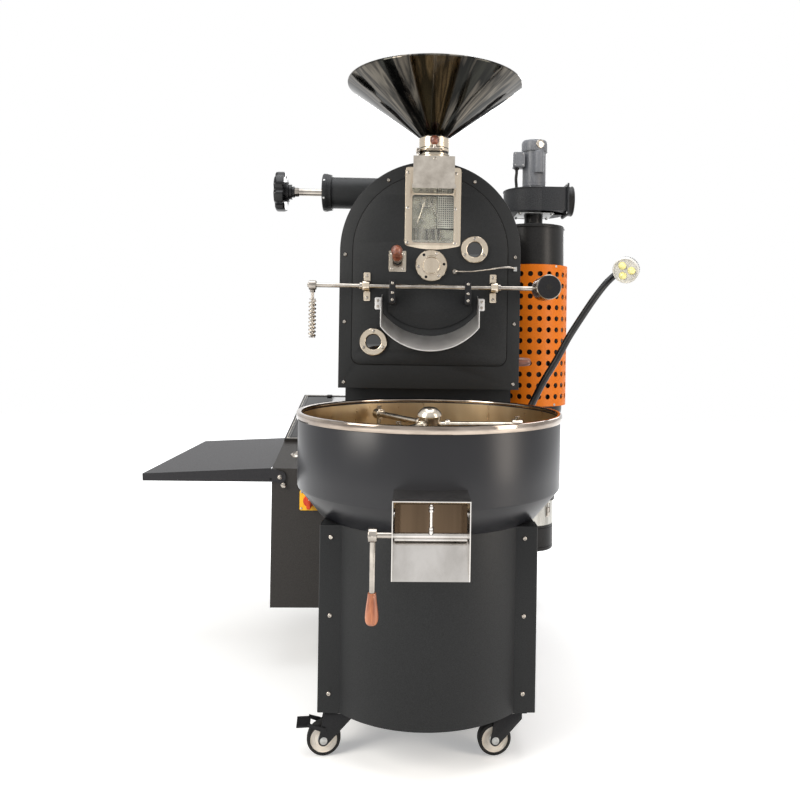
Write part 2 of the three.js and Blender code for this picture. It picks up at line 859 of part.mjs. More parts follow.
function makeFrontCover() {
  const inner = coverRadius - paintedSheet;
  const outerStart = Math.asin(coverFlangeY / coverRadius);
  const innerFlangeY = coverFlangeY + paintedSheet - seatGap;
  const innerStart = Math.asin(innerFlangeY / inner);
  const shape = new THREE.Shape();
  shape.moveTo(-coverHalfWidth, coverFlangeY + coverReturnDepth);
  shape.lineTo(-coverHalfWidth, coverFlangeY);
  shape.absarc(0, 0, coverRadius, Math.PI - outerStart, 2 * Math.PI + outerStart, false);
  shape.lineTo(coverHalfWidth, coverFlangeY);
  shape.lineTo(coverHalfWidth, coverFlangeY + coverReturnDepth);
  shape.lineTo(baseHalfWidth + seatGap, coverFlangeY + coverReturnDepth);
  shape.lineTo(baseHalfWidth + seatGap, innerFlangeY);
  shape.absarc(0, 0, inner, 2 * Math.PI + innerStart, Math.PI - innerStart, true);
  shape.lineTo(-baseHalfWidth - seatGap, innerFlangeY);
  shape.lineTo(-baseHalfWidth - seatGap, coverFlangeY + coverReturnDepth);
  piece('front_cover', level(shape, casterHeight, baseDeckZ), 'blackTexture');
}

// Cooling fan: a scroll on the base floor, its motor, and a suction duct up to the tray.
function makeCoolingFan() {
  const floorZ = casterHeight + paintedSheet;
  const axisZ = floorZ + fanRadius;
  const ductLength = baseDeckZ - seatGap - axisZ;
  const scroll = rod(fanRadius, fanWidth, xAxis, -fanWidth / 2, fanOffsetY, axisZ, mediumSides);
  const foot = block(
    -fanWidth / 2, fanWidth / 2, fanOffsetY - fanRadius, fanOffsetY + fanRadius, floorZ, axisZ,
  );
  const motor = rod(fanMotorRadius, fanMotorLength, xAxis, fanWidth / 2, fanOffsetY, axisZ, mediumSides);
  const duct = rod(fanDuctRadius, ductLength, zAxis, 0, fanOffsetY, axisZ, mediumSides);
  const bore = rod(fanInletRadius, ductLength + overrun, zAxis, 0, fanOffsetY, axisZ, mediumSides);
  piece('cooling_blower', cut(join(scroll, foot, motor, duct), bore), 'motorGrey');
}

makeCasters();
makeBaseFrame();
makeFrontCover();
makeCoolingFan();

// Cooling tray with its outlet gate

const trayFloorTopZ = trayConeTopZ + trayFloorThickness;

function makeTray() {
  const wall = trayRadius - paintedSheet;
  const wallTopZ = trayRimTopZ - trayRimLip;
  const shell = turned(closed([
    [trayHubHoleRadius, baseDeckZ], [trayConeBottomRadius, baseDeckZ], [trayRadius, trayConeTopZ],
    [trayRadius, wallTopZ], [wall, wallTopZ], [wall, trayConeTopZ], [wall - trayLedgeWidth, trayConeTopZ],
    [wall - trayLedgeWidth, trayConeTopZ - paintedSheet], [trayConeBottomRadius, baseDeckZ + paintedSheet],
    [trayHubHoleRadius, baseDeckZ + paintedSheet],
  ]), roundSides);
  const mouth = block(
    -outletMouthHalfWidth, outletMouthHalfWidth, -trayRadius - overrun, -trayRadius / 2,
    trayFloorTopZ + outletMouthRise, trayFloorTopZ + outletMouthRise + outletMouthHeight,
  );
  const suction = rod(
    fanInletRadius, paintedSheet + 2 * overrun, zAxis, 0, fanOffsetY, baseDeckZ - overrun, mediumSides,
  );
  piece('tray_shell', cut(shell, mouth, suction), 'blackTexture');
  const rimInner = trayRadius + seatGap;
  piece('tray_rim', turned(closed([
    [rimInner, trayRimTopZ - trayRimHeight], [trayRimRadius, trayRimTopZ - trayRimHeight],
    [trayRimRadius, trayRimTopZ], [trayRimInnerRadius, trayRimTopZ],
    [trayRimInnerRadius, wallTopZ + seatGap], [rimInner, wallTopZ + seatGap],
  ]), roundSides), 'chromed');
  piece('tray_floor', turned(closed([
    [trayHubHoleRadius, trayConeTopZ], [wall - trayFloorClearance, trayConeTopZ],
    [wall - trayFloorClearance, trayFloorTopZ], [trayHubHoleRadius, trayFloorTopZ],
  ]), roundSides), 'warmSteel');
}

function makeStirrer() {
  const motorTopZ = baseDeckZ - paintedSheet;
  const shaftBottomZ = motorTopZ - trayMotorHeight;
  const shaft = rod(stirrerShaftRadius, stirrerArmZ - shaftBottomZ, zAxis, 0, 0, shaftBottomZ, smallSides);
  const hubBottomZ = stirrerArmZ - stirrerHubHeight / 2;
  const dome = turned([
    [0, hubBottomZ], [stirrerHubRadius, hubBottomZ], [stirrerHubRadius, hubBottomZ + stirrerHubHeight],
    [stirrerDomeRadius, hubBottomZ + stirrerHubHeight],
    ...[1, 2, 3].map((step) => [
      stirrerDomeRadius * Math.cos((step * Math.PI) / 8),
      hubBottomZ + stirrerHubHeight + stirrerDomeHeight * Math.sin((step * Math.PI) / 8),
    ]),
    [0, hubBottomZ + stirrerHubHeight + stirrerDomeHeight],
  ], mediumSides);
  const pieces = [shaft, dome];
  const paddleBottomZ = trayFloorTopZ + paddleFloorGap;
  stirrerArmReach.forEach((reach, i) => {
    const arm = rod(stirrerArmRadius, reach, xAxis, 0, 0, stirrerArmZ, tinySides);
    const dropStart = paddleBottomZ + paddleHeight / 2;
    const drop = rod(stirrerDropRadius, stirrerArmZ - dropStart, zAxis, reach, 0, dropStart, tinySides);
    const paddle = block(
      -paddleLength / 2, paddleLength / 2, -paddleThickness / 2, paddleThickness / 2,
      paddleBottomZ, paddleBottomZ + paddleHeight,
    ).rotateZ(paddleTurnDegrees * degrees).translate(reach, 0, 0);
    for (const item of [arm, drop, paddle]) pieces.push(item.rotateZ(stirrerArmAngles[i] * degrees));
  });
  piece('stirrer', join(...pieces), 'stainless');
  const half = trayMotorSide / 2;
  const box = block(-half, half, -half, half, shaftBottomZ, motorTopZ);
  const motorZ = (shaftBottomZ + motorTopZ) / 2;
  const motor = rod(trayMotorBodyRadius - seatGap, trayMotorBodyLength, xAxis, half, 0, motorZ, mediumSides);
  const bore = rod(trayMotorBore, trayMotorHeight + 2 * overrun, zAxis, 0, 0, shaftBottomZ - overrun);
  piece('tray_gearmotor', cut(join(box, motor), bore), 'motorGrey');
}

// The outlet is an open-fronted box. Its bent floor carries the beans from the wall mouth to the lip.
function makeOutlet() {
  const half = outletWidth / 2;
  const t = stainlessSheet;
  const rearY = -trayRadius * Math.cos(Math.asin(half / trayRadius)) + overrun;
  const cheek = polygon([
    [rearY, outletTopZ], [outletFrontY, outletTopZ], [outletFrontY, outletBottomZ],
    [outletFrontY + 2 * t, outletBottomZ], [outletBendY, outletBendZ - 2 * t], [rearY, trayConeTopZ - t],
  ]);
  const floor = polygon([
    [outletFrontY, outletBottomZ], [outletFrontY + 2 * t, outletBottomZ], [outletBendY, outletBendZ - 2 * t],
    [rearY, trayConeTopZ - t], [rearY, trayConeTopZ + t], [outletBendY - t, outletBendZ],
  ]);
  const box = join(
    sideways(cheek, -half, -half + t), sideways(cheek, half - t, half), sideways(floor, -half, half),
    block(-half, half, outletFrontY, rearY, outletTopZ - t, outletTopZ),
  );
  const drum = rod(trayRadius + seatGap, trayRimTopZ - outletBottomZ, zAxis, 0, 0, outletBottomZ, roundSides);
  const boreRadius = gateShaftRadius + seatGap;
  const bore = rod(boreRadius, outletWidth + 2 * overrun, xAxis, -half - overrun, gateShaftY, gateShaftZ);
  piece('outlet_box', cut(box, drum, bore), 'stainless');

  const flapHalf = half - t - gateFlapSideGap;
  const shaftStart = -half - leverHubGap - leverHubLength;
  const shaft = rod(gateShaftRadius, half - shaftStart, xAxis, shaftStart, gateShaftY, gateShaftZ);
  const flap = block(
    -flapHalf, flapHalf, gateShaftY - t / 2, gateShaftY + t / 2, gateShaftZ, gateShaftZ + gateFlapHeight,
  );
  const linkY = gateShaftY - t / 2 - gateLinkRadius / 2;
  const link = rod(gateLinkRadius, gateFlapHeight, zAxis, 0, linkY, gateShaftZ, tinySides);
  const nuts = [gateShaftRadius, gateFlapHeight - 2 * gateNutHeight].map((rise) => (
    rod(gateNutRadius, gateNutHeight, zAxis, 0, linkY, gateShaftZ + rise, hexSides)
  ));
  piece('gate_flap', join(shaft, flap, link, ...nuts), 'stainless');

  const hub = rod(leverHubRadius, leverHubLength, xAxis, shaftStart, gateShaftY, gateShaftZ, mediumSides);
  const leverX = shaftStart + leverHubLength / 2;
  const rodTop = gateShaftZ - gateShaftRadius - seatGap - stainlessSheet;
  const rodLength = leverRodLength + leverHubRadius;
  const stem = rod(leverRodRadius, rodLength, zAxis, leverX, gateShaftY, rodTop - rodLength);
  const hubRun = leverHubLength + 2 * overrun;
  const hubBore = rod(boreRadius, hubRun, xAxis, shaftStart - overrun, gateShaftY, gateShaftZ);
  piece('gate_lever', cut(join(hub, stem), hubBore), 'chromed');

  const gripTop = rodTop - rodLength - seatGap;
  const { bottom, belly, waist, neck } = leverGripShares;
  const grip = turned([
    [0, gripTop - leverGripLength], [leverGripRadius * leverGripEndShare, gripTop - leverGripLength * bottom],
    [leverGripRadius, gripTop - leverGripLength * belly],
    [leverGripRadius * leverGripWaistShare, gripTop - leverGripLength * waist],
    [leverGripNeckRadius, gripTop - leverGripLength * neck], [leverGripNeckRadius, gripTop], [0, gripTop],
  ], smallSides);
  piece('lever_grip', shift(grip, leverX, gateShaftY, 0), 'lightWood');
}

makeTray();
makeStirrer();
makeOutlet();

// Roasting unit: face plate, housing, drum, burner and the fittings on the face

const panelFrontY = faceY - panelRaise;
const housingFrontY = faceY + faceThickness;

// The trier's line slopes up towards the front, so its holes are cut by a tilted rod.
function samplerRod(radius, start, end) {
  const bore = rod(radius, end - start, yAxis, 0, start, 0);
  bore.rotateX(-samplerTiltDegrees * degrees);
  return shift(bore, samplerX, panelFrontY, samplerZ);
}

function makeFacePlate() {
  const outline = archShape(faceHalfWidth, standTopZ, faceArchZ);
  const plate = upright(outline, faceY, housingFrontY, mediumSides);
  const half = faceHalfWidth - panelInset;
  const panel = roundedRect(-half, half, panelBottomZ, faceArchZ, panelCornerRadius);
  const crown = archShape(half, faceArchZ - 2 * panelCornerRadius, faceArchZ);
  const raised = join(upright(panel, panelFrontY, housingFrontY), upright(crown, panelFrontY, housingFrontY));
  const depth = [panelFrontY - overrun, housingFrontY + overrun];
  const doorHole = scoopShape(
    doorHalfWidth - doorHoleInset, doorTopZ - doorHoleTopDrop, doorSideZ, doorBottomZ + doorHoleInset,
  );
  const windowHalf = windowWidth / 2;
  const chuteHalf = chuteHoleWidth / 2;
  const through = housingFrontY - panelFrontY + 2 * overrun;
  const holes = [
    upright(doorHole, ...depth),
    block(chuteX - windowHalf, chuteX + windowHalf, ...depth, windowBottomZ, windowTopZ),
    block(chuteX - chuteHalf, chuteX + chuteHalf, ...depth, chuteHoleBottomZ, chuteHoleTopZ),
    rod(drumShaftRadius + drumShaftClearance, through, yAxis, drumAxisX, depth[0], drumAxisZ, mediumSides),
    rod(probeRadius + 2 * seatGap, through, yAxis, probeX, depth[0], probeZ),
    rod(sheathRadius + 2 * seatGap, through, yAxis, sheathRun.at(-1)[0], depth[0], sheathRun.at(-1)[2]),
    samplerRod(samplerTubeRadius + seatGap, -overrun * 2, through + overrun),
    ...Object.values(sightPlaces).map(
      ([x, z]) => rod(sightBoreRadius, through, yAxis, x, depth[0], z, mediumSides),
    ),
  ];
  const guardHalf = samplerPlateWidth / 2;
  const guardTall = samplerPlateHeight / 2;
  const guard = block(
    samplerX - guardHalf, samplerX + guardHalf, panelFrontY - stainlessSheet, panelFrontY,
    samplerZ - guardTall, samplerZ + guardTall,
  );
  piece('face_plate', cut(join(plate, raised, guard), ...holes), 'blackTexture');
}

function makeHousing() {
  const arch = archShape(housingHalfWidth, standTopZ, faceArchZ);
  const outer = upright(arch, housingFrontY, housingRearY, mediumSides);
  const innerHalf = housingHalfWidth - housingWall;
  const inner = archShape(innerHalf, standTopZ + housingWall, faceArchZ);
  const hollow = upright(inner, housingFrontY - overrun, housingRearY - housingWall, mediumSides);
  const rear = housingRearY - housingWall - overrun;
  const wallRun = housingWall + 2 * overrun;
  const shaftBore = drumShaftRadius + drumShaftClearance;
  const shaftHole = rod(shaftBore, wallRun, yAxis, drumAxisX, rear, drumAxisZ, mediumSides);
  const burnerZ = standTopZ + housingWall + burnerTubeRise;
  const gasHole = rod(burnerInletRadius + seatGap, wallRun, yAxis, 0, rear, burnerZ, smallSides);
  const side = housingHalfWidth - housingWall - overrun;
  const airHole = rod(airRodRadius + seatGap, wallRun, xAxis, side, airPullY, airPullZ, smallSides);
  const smokeBore = rod(
    smokeRadius - smokeWall, housingHalfWidth, xAxis, -housingHalfWidth, smokeY, smokeZ, mediumSides,
  );
  const ductBore = block(
    0, housingHalfWidth, cycloneY - ductHalfDepth + cycloneWall,
    cycloneY + ductHalfDepth - cycloneWall - housingWall,
    ductBottomZ + cycloneWall, ductTopZ - cycloneWall,
  );
  const shell = cut(outer, hollow, shaftHole, gasHole, airHole, smokeBore, ductBore);
  piece('drum_housing', shell, 'blackTexture');
}

function makeDrum() {
  const front = housingFrontY + drumFrontGap;
  const rear = front + drumLength;
  const inner = drumRadius - drumWall;
  const shell = turned(closed([
    [drumShaftRadius - seatGap, rear], [drumRadius, rear], [drumRadius, front], [inner, front],
    [inner, rear - drumWall], [drumShaftRadius - seatGap, rear - drumWall],
  ]), roundSides, yAxis);
  const centred = shift(shell, drumAxisX, 0, drumAxisZ);
  const shaftStart = panelFrontY - bearingRecessDepth + drumWall - seatGap * 2;
  const shaftEnd = housingRearY + drumShaftRearReach;
  const shaft = rod(
    drumShaftRadius, shaftEnd - shaftStart, yAxis, drumAxisX, shaftStart, drumAxisZ, mediumSides,
  );
  const spider = [];
  const spiderY = (front + rear) / 2;
  for (let i = 0; i < drumVaneCount; i += 1) {
    const vane = block(
      -drumVaneThickness / 2, drumVaneThickness / 2, front, rear - drumWall / 2,
      inner - drumVaneHeight, inner + drumWall / 2,
    );
    const spoke = block(
      -drumVaneThickness, drumVaneThickness, spiderY, spiderY + drumVaneHeight / 2, 0, inner + drumWall / 2,
    );
    for (const item of [vane, spoke]) {
      item.rotateY((i * 2 * Math.PI) / drumVaneCount);
      spider.push(shift(item, drumAxisX, 0, drumAxisZ));
    }
  }
  piece('drum', join(centred, shaft, ...spider), 'castIron');
  const cover = turned([
    [0, -bearingBossHeight], [bearingBossRadius, -bearingBossHeight], [bearingBossRadius, -bearingCoverHeight],
    [bearingCoverRadius, -bearingCoverHeight], [bearingCoverRadius, 0], [bearingRecessRadius, 0],
    [bearingRecessRadius, -bearingRecessDepth], [0, -bearingRecessDepth],
  ], mediumSides, yAxis);
  piece('bearing_cover', shift(cover, drumAxisX, panelFrontY, drumAxisZ), 'stainless');

  const half = drumMotorSide / 2;
  const gearbox = block(
    drumAxisX - half, drumAxisX + half, housingRearY, housingRearY + drumMotorDepth, drumAxisZ - half,
    drumAxisZ + half,
  );
  const motorY = housingRearY + drumMotorDepth;
  const motorRun = drumMotorLength - drumMotorDepth / 2;
  const motor = rod(drumMotorRadius, motorRun, yAxis, drumAxisX, motorY, drumAxisZ, mediumSides);
  const socket = rod(
    drumShaftRadius + drumShaftClearance, drumShaftRearReach + overrun + seatGap, yAxis, drumAxisX,
    housingRearY - overrun,
    drumAxisZ, mediumSides,
  );
  piece('drum_gearmotor', cut(join(gearbox, motor), socket), 'motorGrey');
}

function makeBurner() {
  const floorZ = standTopZ + housingWall;
  const z = floorZ + burnerTubeRise;
  const start = housingFrontY + burnerStartInset;
  const end = start + burnerTubeLength;
  const reach = burnerTubeSpacing;
  const pieces = [-1, 0, 1].map((i) => rod(burnerTubeRadius, burnerTubeLength, yAxis, i * reach, start, z));
  pieces.push(rod(burnerManifoldRadius, 2 * reach, xAxis, -reach, end - burnerManifoldRadius, z));
  pieces.push(
    rod(burnerInletRadius, housingRearY + burnerInletReach - end + overrun, yAxis, 0, end - overrun, z),
  );
  for (const y of [start, end - 2 * burnerFootWidth]) {
    pieces.push(block(-reach, reach, y, y + burnerFootWidth, floorZ, z));
  }
  piece('burner', join(...pieces), 'castIron');
}

// Each sight glass is a flanged ring with its pane set into the front.
function makeSights() {
  const sight = turned([
    [0, -sightHeight + sightGlassThickness], [sightGlassRadius, -sightHeight + sightGlassThickness],
    [sightGlassRadius, -sightHeight], [sightRadius, -sightHeight], [sightRadius, 0], [0, 0],
  ], mediumSides, yAxis);
  for (const [word, [x, z]] of Object.entries(sightPlaces)) {
    piece(`sight_glass_${word}`, sight.clone().translate(x, panelFrontY, z), 'stainless');
  }
}

function makeProbe() {
  const nut = rod(
    probeNutRadius, probeNutHeight, yAxis, probeX, panelFrontY - probeNutHeight, probeZ, hexSides,
  );
  const probe = rod(probeRadius, probeDepth, yAxis, probeX, panelFrontY - overrun, probeZ, tinySides);
  const sheath = bar(sheathRun, sheathRadius, 3 * sheathRun.length, tinySides);
  piece('thermocouple', join(nut, probe, sheath), 'stainless');
}

// The trier slides in the face: a scoop tube behind, and a turned wooden grip in front.
function makeSampler() {
  const slope = group(samplerX, panelFrontY, samplerZ);
  slope.rotation.x = -samplerTiltDegrees * degrees;
  const gripEnd = -samplerGripStart - samplerGripLength;
  const tube = rod(
    samplerTubeRadius, samplerTubeReach + samplerGripStart, yAxis, 0, -samplerGripStart, 0, smallSides,
  );
  const ballY = gripEnd + samplerBallRadius;
  const grip = turned([
    [0, gripEnd],
    ...samplerBallDegrees.map((turn) => [
      samplerBallRadius * Math.sin(turn * degrees),
      ballY - samplerBallRadius * Math.cos(turn * degrees),
    ]),
    [samplerWaistRadius, ballY + samplerBallRadius],
    [samplerBallRadius * samplerTipShare, -samplerGripStart - samplerBallRadius],
    [samplerWaistRadius, -samplerGripStart], [0, -samplerGripStart],
  ], smallSides, yAxis);
  piece('sampler', join(tube, grip), 'wood', slope);
}

function makeAirPull() {
  const start = housingHalfWidth - housingWall - airRodInner;
  const gripStart = airGripEndX - airGripLength;
  const stem = rod(airRodRadius, gripStart - start + overrun, xAxis, start, airPullY, airPullZ);
  const grip = turned([
    [0, 0], [airGripRadius * airGripNeckShare, 0], [airGripRadius, airGripLength * airGripShares.shoulder],
    [airGripRadius, airGripLength * airGripShares.belly],
    [airGripRadius * airGripEndShare, airGripLength * airGripShares.end], [0, airGripLength],
  ], smallSides, xAxis);
  piece('air_pull', join(stem, shift(grip, gripStart, airPullY, airPullZ)), 'wood');
}

makeFacePlate();
makeHousing();
makeDrum();
makeBurner();
makeSights();
makeProbe();
makeSampler();
makeAirPull();

// Discharge door on its shaft, with the chute lip below it

function makeDoor() {
  const span = doorShaftRightX - doorShaftLeftX;
  piece('door_shaft', rod(doorShaftRadius, span, xAxis, doorShaftLeftX, doorShaftY, doorShaftZ, smallSides), 'chromed');
  const bore = rod(doorShaftRadius + seatGap, span, xAxis, doorShaftLeftX, doorShaftY, doorShaftZ, smallSides);

  const panelBack = panelFrontY - seatGap;
  const panelFront = panelBack - doorThickness;
  const panel = upright(scoopShape(doorHalfWidth, doorTopZ, doorSideZ, doorBottomZ), panelFront, panelBack);
  const front = doorShaftY - doorShaftRadius - bracketFrontGap;
  const rear = doorShaftY + doorShaftRadius + bracketFrontGap;
  const bracket = polygon([
    [front, bracketTopZ], [front, bracketBottomZ], [panelFront + doorThickness / 2, bracketBottomZ],
    [panelFront + doorThickness / 2, bracketBottomZ + bracketWidth], [rear, doorShaftZ - bracketWidth],
    [rear, bracketTopZ],
  ]);
  const halfWidth = bracketWidth / 2;
  const brackets = [-1, 1].map((side) => sideways(
    bracket, side * bracketHalfSpacing - halfWidth, side * bracketHalfSpacing + halfWidth,
  ));
  piece('door_panel', cut(join(panel, ...brackets), bore), 'blackTexture');

  for (const [word, side] of [['left', -1], ['right', 1]]) {
    const x = side * strapHalfSpacing;
    const half = strapWidth / 2;
    const base = block(
      x - half, x + half, panelFrontY - strapThickness, panelFrontY,
      doorShaftZ - strapHalfHeight, doorShaftZ + strapHalfHeight,
    );
    const saddle = block(
      x - half, x + half, doorShaftY - strapBlockFront, panelFrontY,
      doorShaftZ - strapBlockHalfHeight, doorShaftZ + strapBlockHalfHeight,
    );
    piece(`shaft_strap_${word}`, cut(join(base, saddle), bore), 'stainless');
  }

  const ringLeft = new THREE.Vector3(handleX - handleHubLength / 2, doorShaftY, doorShaftZ);
  const hub = rod(handleHubRadius, handleHubLength, xAxis, ringLeft.x, ringLeft.y, ringLeft.z, mediumSides);
  const springTop = doorShaftZ - handleHubRadius - springTopDrop + springWireRadius;
  const upperStop = rod(handleStopRadius, handleStopHeight, zAxis, handleX, doorShaftY, springTop + seatGap);
  const springBottom = springTop - springCurls * springPitch - 2 * springWireRadius;
  const lowerZ = springBottom - seatGap - handleStopHeight;
  const lowerStop = rod(handleStopRadius, handleStopHeight, zAxis, handleX, doorShaftY, lowerZ);
  const rodTop = doorShaftZ - doorShaftRadius - seatGap - springWireRadius;
  const stem = rod(handleRodRadius, rodTop - lowerZ, zAxis, handleX, doorShaftY, lowerZ);
  const boreRun = handleHubLength + 2 * overrun;
  const handleBore = rod(
    doorShaftRadius + seatGap, boreRun, xAxis, ringLeft.x - overrun, doorShaftY, doorShaftZ,
  );
  const handle = join(hub, stem, upperStop, lowerStop);
  piece('door_handle', cut(handle, handleBore), 'chromed');
  makeSpring(springTop - springWireRadius);

  const weight = turned([
    [0, doorShaftY - weightFrontReach], [weightRadius - screwHeadHeight, doorShaftY - weightFrontReach],
    [weightRadius, doorShaftY - weightFrontReach + screwHeadHeight],
    [weightRadius, doorShaftY + weightRearReach],
    [0, doorShaftY + weightRearReach],
  ], mediumSides, yAxis);
  piece('counterweight', cut(shift(weight, weightX, 0, doorShaftZ), bore), 'blackTexture');
}

// The grip is one round wire wound in an open coil about the handle's rod.
function makeSpring(topZ) {
  const rings = springCurls * springStepsPerCurl;
  const positions = [];
  const index = [];
  const centres = [];
  const dropPerTurn = springPitch / (2 * Math.PI);
  const tilt = Math.atan2(dropPerTurn, springCoilRadius);
  for (let i = 0; i <= rings; i += 1) {
    const turn = (2 * Math.PI * i) / springStepsPerCurl;
    const outward = new THREE.Vector3(Math.cos(turn), Math.sin(turn), 0);
    const centre = outward.clone().multiplyScalar(springCoilRadius);
    centre.z = -dropPerTurn * turn;
    centres.push(centre);
    const across = new THREE.Vector3(
      Math.sin(turn) * Math.sin(tilt), -Math.cos(turn) * Math.sin(tilt), -Math.cos(tilt),
    );
    for (let j = 0; j < springWireSides; j += 1) {
      const angle = (2 * Math.PI * j) / springWireSides;
      const point = centre.clone()
        .addScaledVector(outward, springWireRadius * Math.cos(angle))
        .addScaledVector(across, springWireRadius * Math.sin(angle));
      positions.push(point.x, point.y, point.z);
    }
  }
  for (let i = 0; i < rings; i += 1) {
    for (let j = 0; j < springWireSides; j += 1) {
      const a = i * springWireSides + j;
      const b = i * springWireSides + ((j + 1) % springWireSides);
      index.push(a, b, a + springWireSides, b, b + springWireSides, a + springWireSides);
    }
  }
  for (let j = 1; j < springWireSides - 1; j += 1) {
    const last = rings * springWireSides;
    index.push(0, j + 1, j, last, last + j, last + j + 1);
  }
  let least = Infinity;
  for (let i = 0; i < centres.length; i += 1) {
    for (let k = i + springStepsPerCurl / 2; k < centres.length; k += 1) {
      least = Math.min(least, centres[i].distanceTo(centres[k]) - 2 * springWireRadius);
    }
  }
  console.log(`grip spring: least gap to itself ${least.toFixed(2)} mm`);
  const geometry = new THREE.BufferGeometry();
  geometry.setAttribute('position', new THREE.Float32BufferAttribute(positions, 3));
  geometry.setIndex(index);
  const spring = piece('grip_spring', toGeometry(toSolid(geometry)), 'chromed');
  spring.position.set(handleX, doorShaftY, topZ);
}

// The chute lip is a scoop-shaped band that slopes down towards the front, with an ear on each side.
function makeLip() {
  const outer = scoopShape(lipHalfWidth, lipTopZ, lipSideZ, lipBottomZ);
  const inner = scoopShape(lipHalfWidth - lipWall, lipTopZ + overrun, lipSideZ, lipBottomZ + lipWall);
  const slope = new THREE.Matrix4().makeShear(0, 0, 0, lipDrop / lipDepth, 0, 0);
  const back = panelFrontY;
  const sheared = (shape, y0, y1) => upright(shape, y0 - back, y1 - back).applyMatrix4(slope).translate(0, back, 0);
  const front = back - lipDepth;
  const band = cut(
    sheared(outer, front, back + 2 * overrun), sheared(inner, front - overrun, back + 4 * overrun),
  );
  const faceSide = block(
    -lipHalfWidth - overrun, lipHalfWidth + overrun, back, back + overrun * 5,
    lipBottomZ - lipDrop, lipTopZ + overrun * 2,
  );
  const ears = [-1, 1].map((side) => {
    const x = side * (lipHalfWidth - lipWall / 2);
    const earTop = lipTopZ - lipEarDrop;
    return block(
      side < 0 ? x - lipEarWidth : x, side < 0 ? x : x + lipEarWidth, back - lipWall, back,
      earTop - lipEarHeight, earTop,
    );
  });
  piece('discharge_lip', join(cut(band, faceSide), ...ears), 'stainless');
}

makeDoor();
makeLip();

// Hopper, feed gate, inlet box and window

function makeHopper() {
  const t = stainlessSheet;
  const slope = (hopperRadius - hopperThroatRadius) / (hopperTopZ - hopperThroatZ);
  const rimZ = hopperTopZ - 2 * hopperRimRadius;
  const cone = turned(closed([
    [neckRadius, inletTopZ], [neckRadius, hopperThroatZ], [neckRadius + slope * t, hopperThroatZ + t],
    [hopperRadius - t, rimZ], [hopperRadius, rimZ], [hopperRadius, hopperTopZ],
    [hopperRadius - 2 * hopperRimRadius, hopperTopZ], [hopperRadius - 2 * hopperRimRadius, rimZ + t],
    [hopperThroatRadius, hopperThroatZ + t], [hopperThroatRadius, hopperThroatZ],
    [neckRadius - t, hopperThroatZ - t], [neckRadius - t, inletTopZ],
  ]), roundSides);
  const placed = shift(cone, chuteX, hopperAxisY, 0);
  const slotHalf = neckRadius + overrun;
  const slotPlay = (gateSlotHeight - gateThickness) / 2;
  const slot = block(
    chuteX - slotHalf, chuteX + slotHalf, hopperAxisY - slotHalf, hopperAxisY,
    gateZ - slotPlay, gateZ + gateThickness + slotPlay,
  );
  piece('hopper', cut(placed, slot), 'stainless');

  const leaf = rod(neckRadius - t - 2 * seatGap, gateThickness, zAxis, chuteX, hopperAxisY, gateZ, mediumSides);
  const tabY = hopperAxisY - gateTabReach;
  const tabHalf = gateTabHalfWidth;
  const tab = block(chuteX - tabHalf, chuteX + tabHalf, tabY, hopperAxisY, gateZ, gateZ + gateThickness);
  const rodY = tabY + gateRodInset;
  const stem = rod(gateRodRadius, gateRodRise + gateKnobRadius, zAxis, chuteX, rodY, gateZ, tinySides);
  const knob = new THREE.SphereGeometry(gateKnobRadius, smallSides, tinySides).rotateX(Math.PI / 2);
  knob.translate(chuteX, rodY, gateZ + gateRodRise + gateKnobRadius);
  piece('feed_gate', join(leaf, tab, stem, knob), 'wood');
}

function makeInlet() {
  const t = stainlessSheet;
  const half = inletWidth / 2;
  const rearY = panelFrontY - t - seatGap;
  const outer = block(chuteX - half, chuteX + half, inletFrontY, rearY, inletBottomZ, inletTopZ);
  const lip = block(
    chuteX - half - inletLipReach, chuteX + half + inletLipReach, inletFrontY - inletLipReach, rearY,
    inletBottomZ, inletBottomZ + inletLipHeight,
  );
  const hollow = block(
    chuteX - half + t, chuteX + half - t, inletFrontY + t, rearY + overrun, inletBottomZ + t, inletTopZ - t,
  );
  const throat = rod(neckRadius - t, 2 * overrun, zAxis, chuteX, hopperAxisY, inletTopZ - overrun, mediumSides);
  piece('inlet_box', cut(join(outer, lip), hollow, throat), 'stainless');

  const frameHalf = frameWidth / 2;
  const plate = roundedRect(chuteX - frameHalf, chuteX + frameHalf, frameBottomZ, frameTopZ, frameCornerRadius);
  const windowHalf = windowWidth / 2;
  const opening = roundedRect(
    chuteX - windowHalf, chuteX + windowHalf, windowBottomZ, windowTopZ, windowCornerRadius,
  );
  const chuteHalf = chuteHoleWidth / 2;
  const depth = [panelFrontY - t - overrun, panelFrontY + overrun];
  const bow = new THREE.Shape();
  bow.moveTo(chuteX - frameHalf + frameCornerRadius, frameBottomZ + frameCornerRadius);
  bow.quadraticCurveTo(
    chuteX, frameBottomZ - 2 * frameBow - frameCornerRadius,
    chuteX + frameHalf - frameCornerRadius, frameBottomZ + frameCornerRadius,
  );
  const frame = cut(
    join(upright(plate, panelFrontY - t, panelFrontY), upright(bow, panelFrontY - t, panelFrontY)),
    upright(opening, ...depth),
    block(chuteX - chuteHalf, chuteX + chuteHalf, ...depth, chuteHoleBottomZ, chuteHoleTopZ),
  );
  piece('window_frame', frame, 'stainless');
  const pane = block(
    chuteX - windowHalf + seatGap, chuteX + windowHalf - seatGap, panelFrontY + seatGap,
    panelFrontY + windowGlassThickness, windowBottomZ + seatGap, windowTopZ - seatGap,
  );
  piece('window_glass', pane, 'glassTint');
}

makeHopper();
makeInlet();

// Smoke pipe with its damper, then the cyclone, its blower and the chaff bin

const binTopZ = cycloneConeBottomZ - 2 * cycloneWall - seatGap;

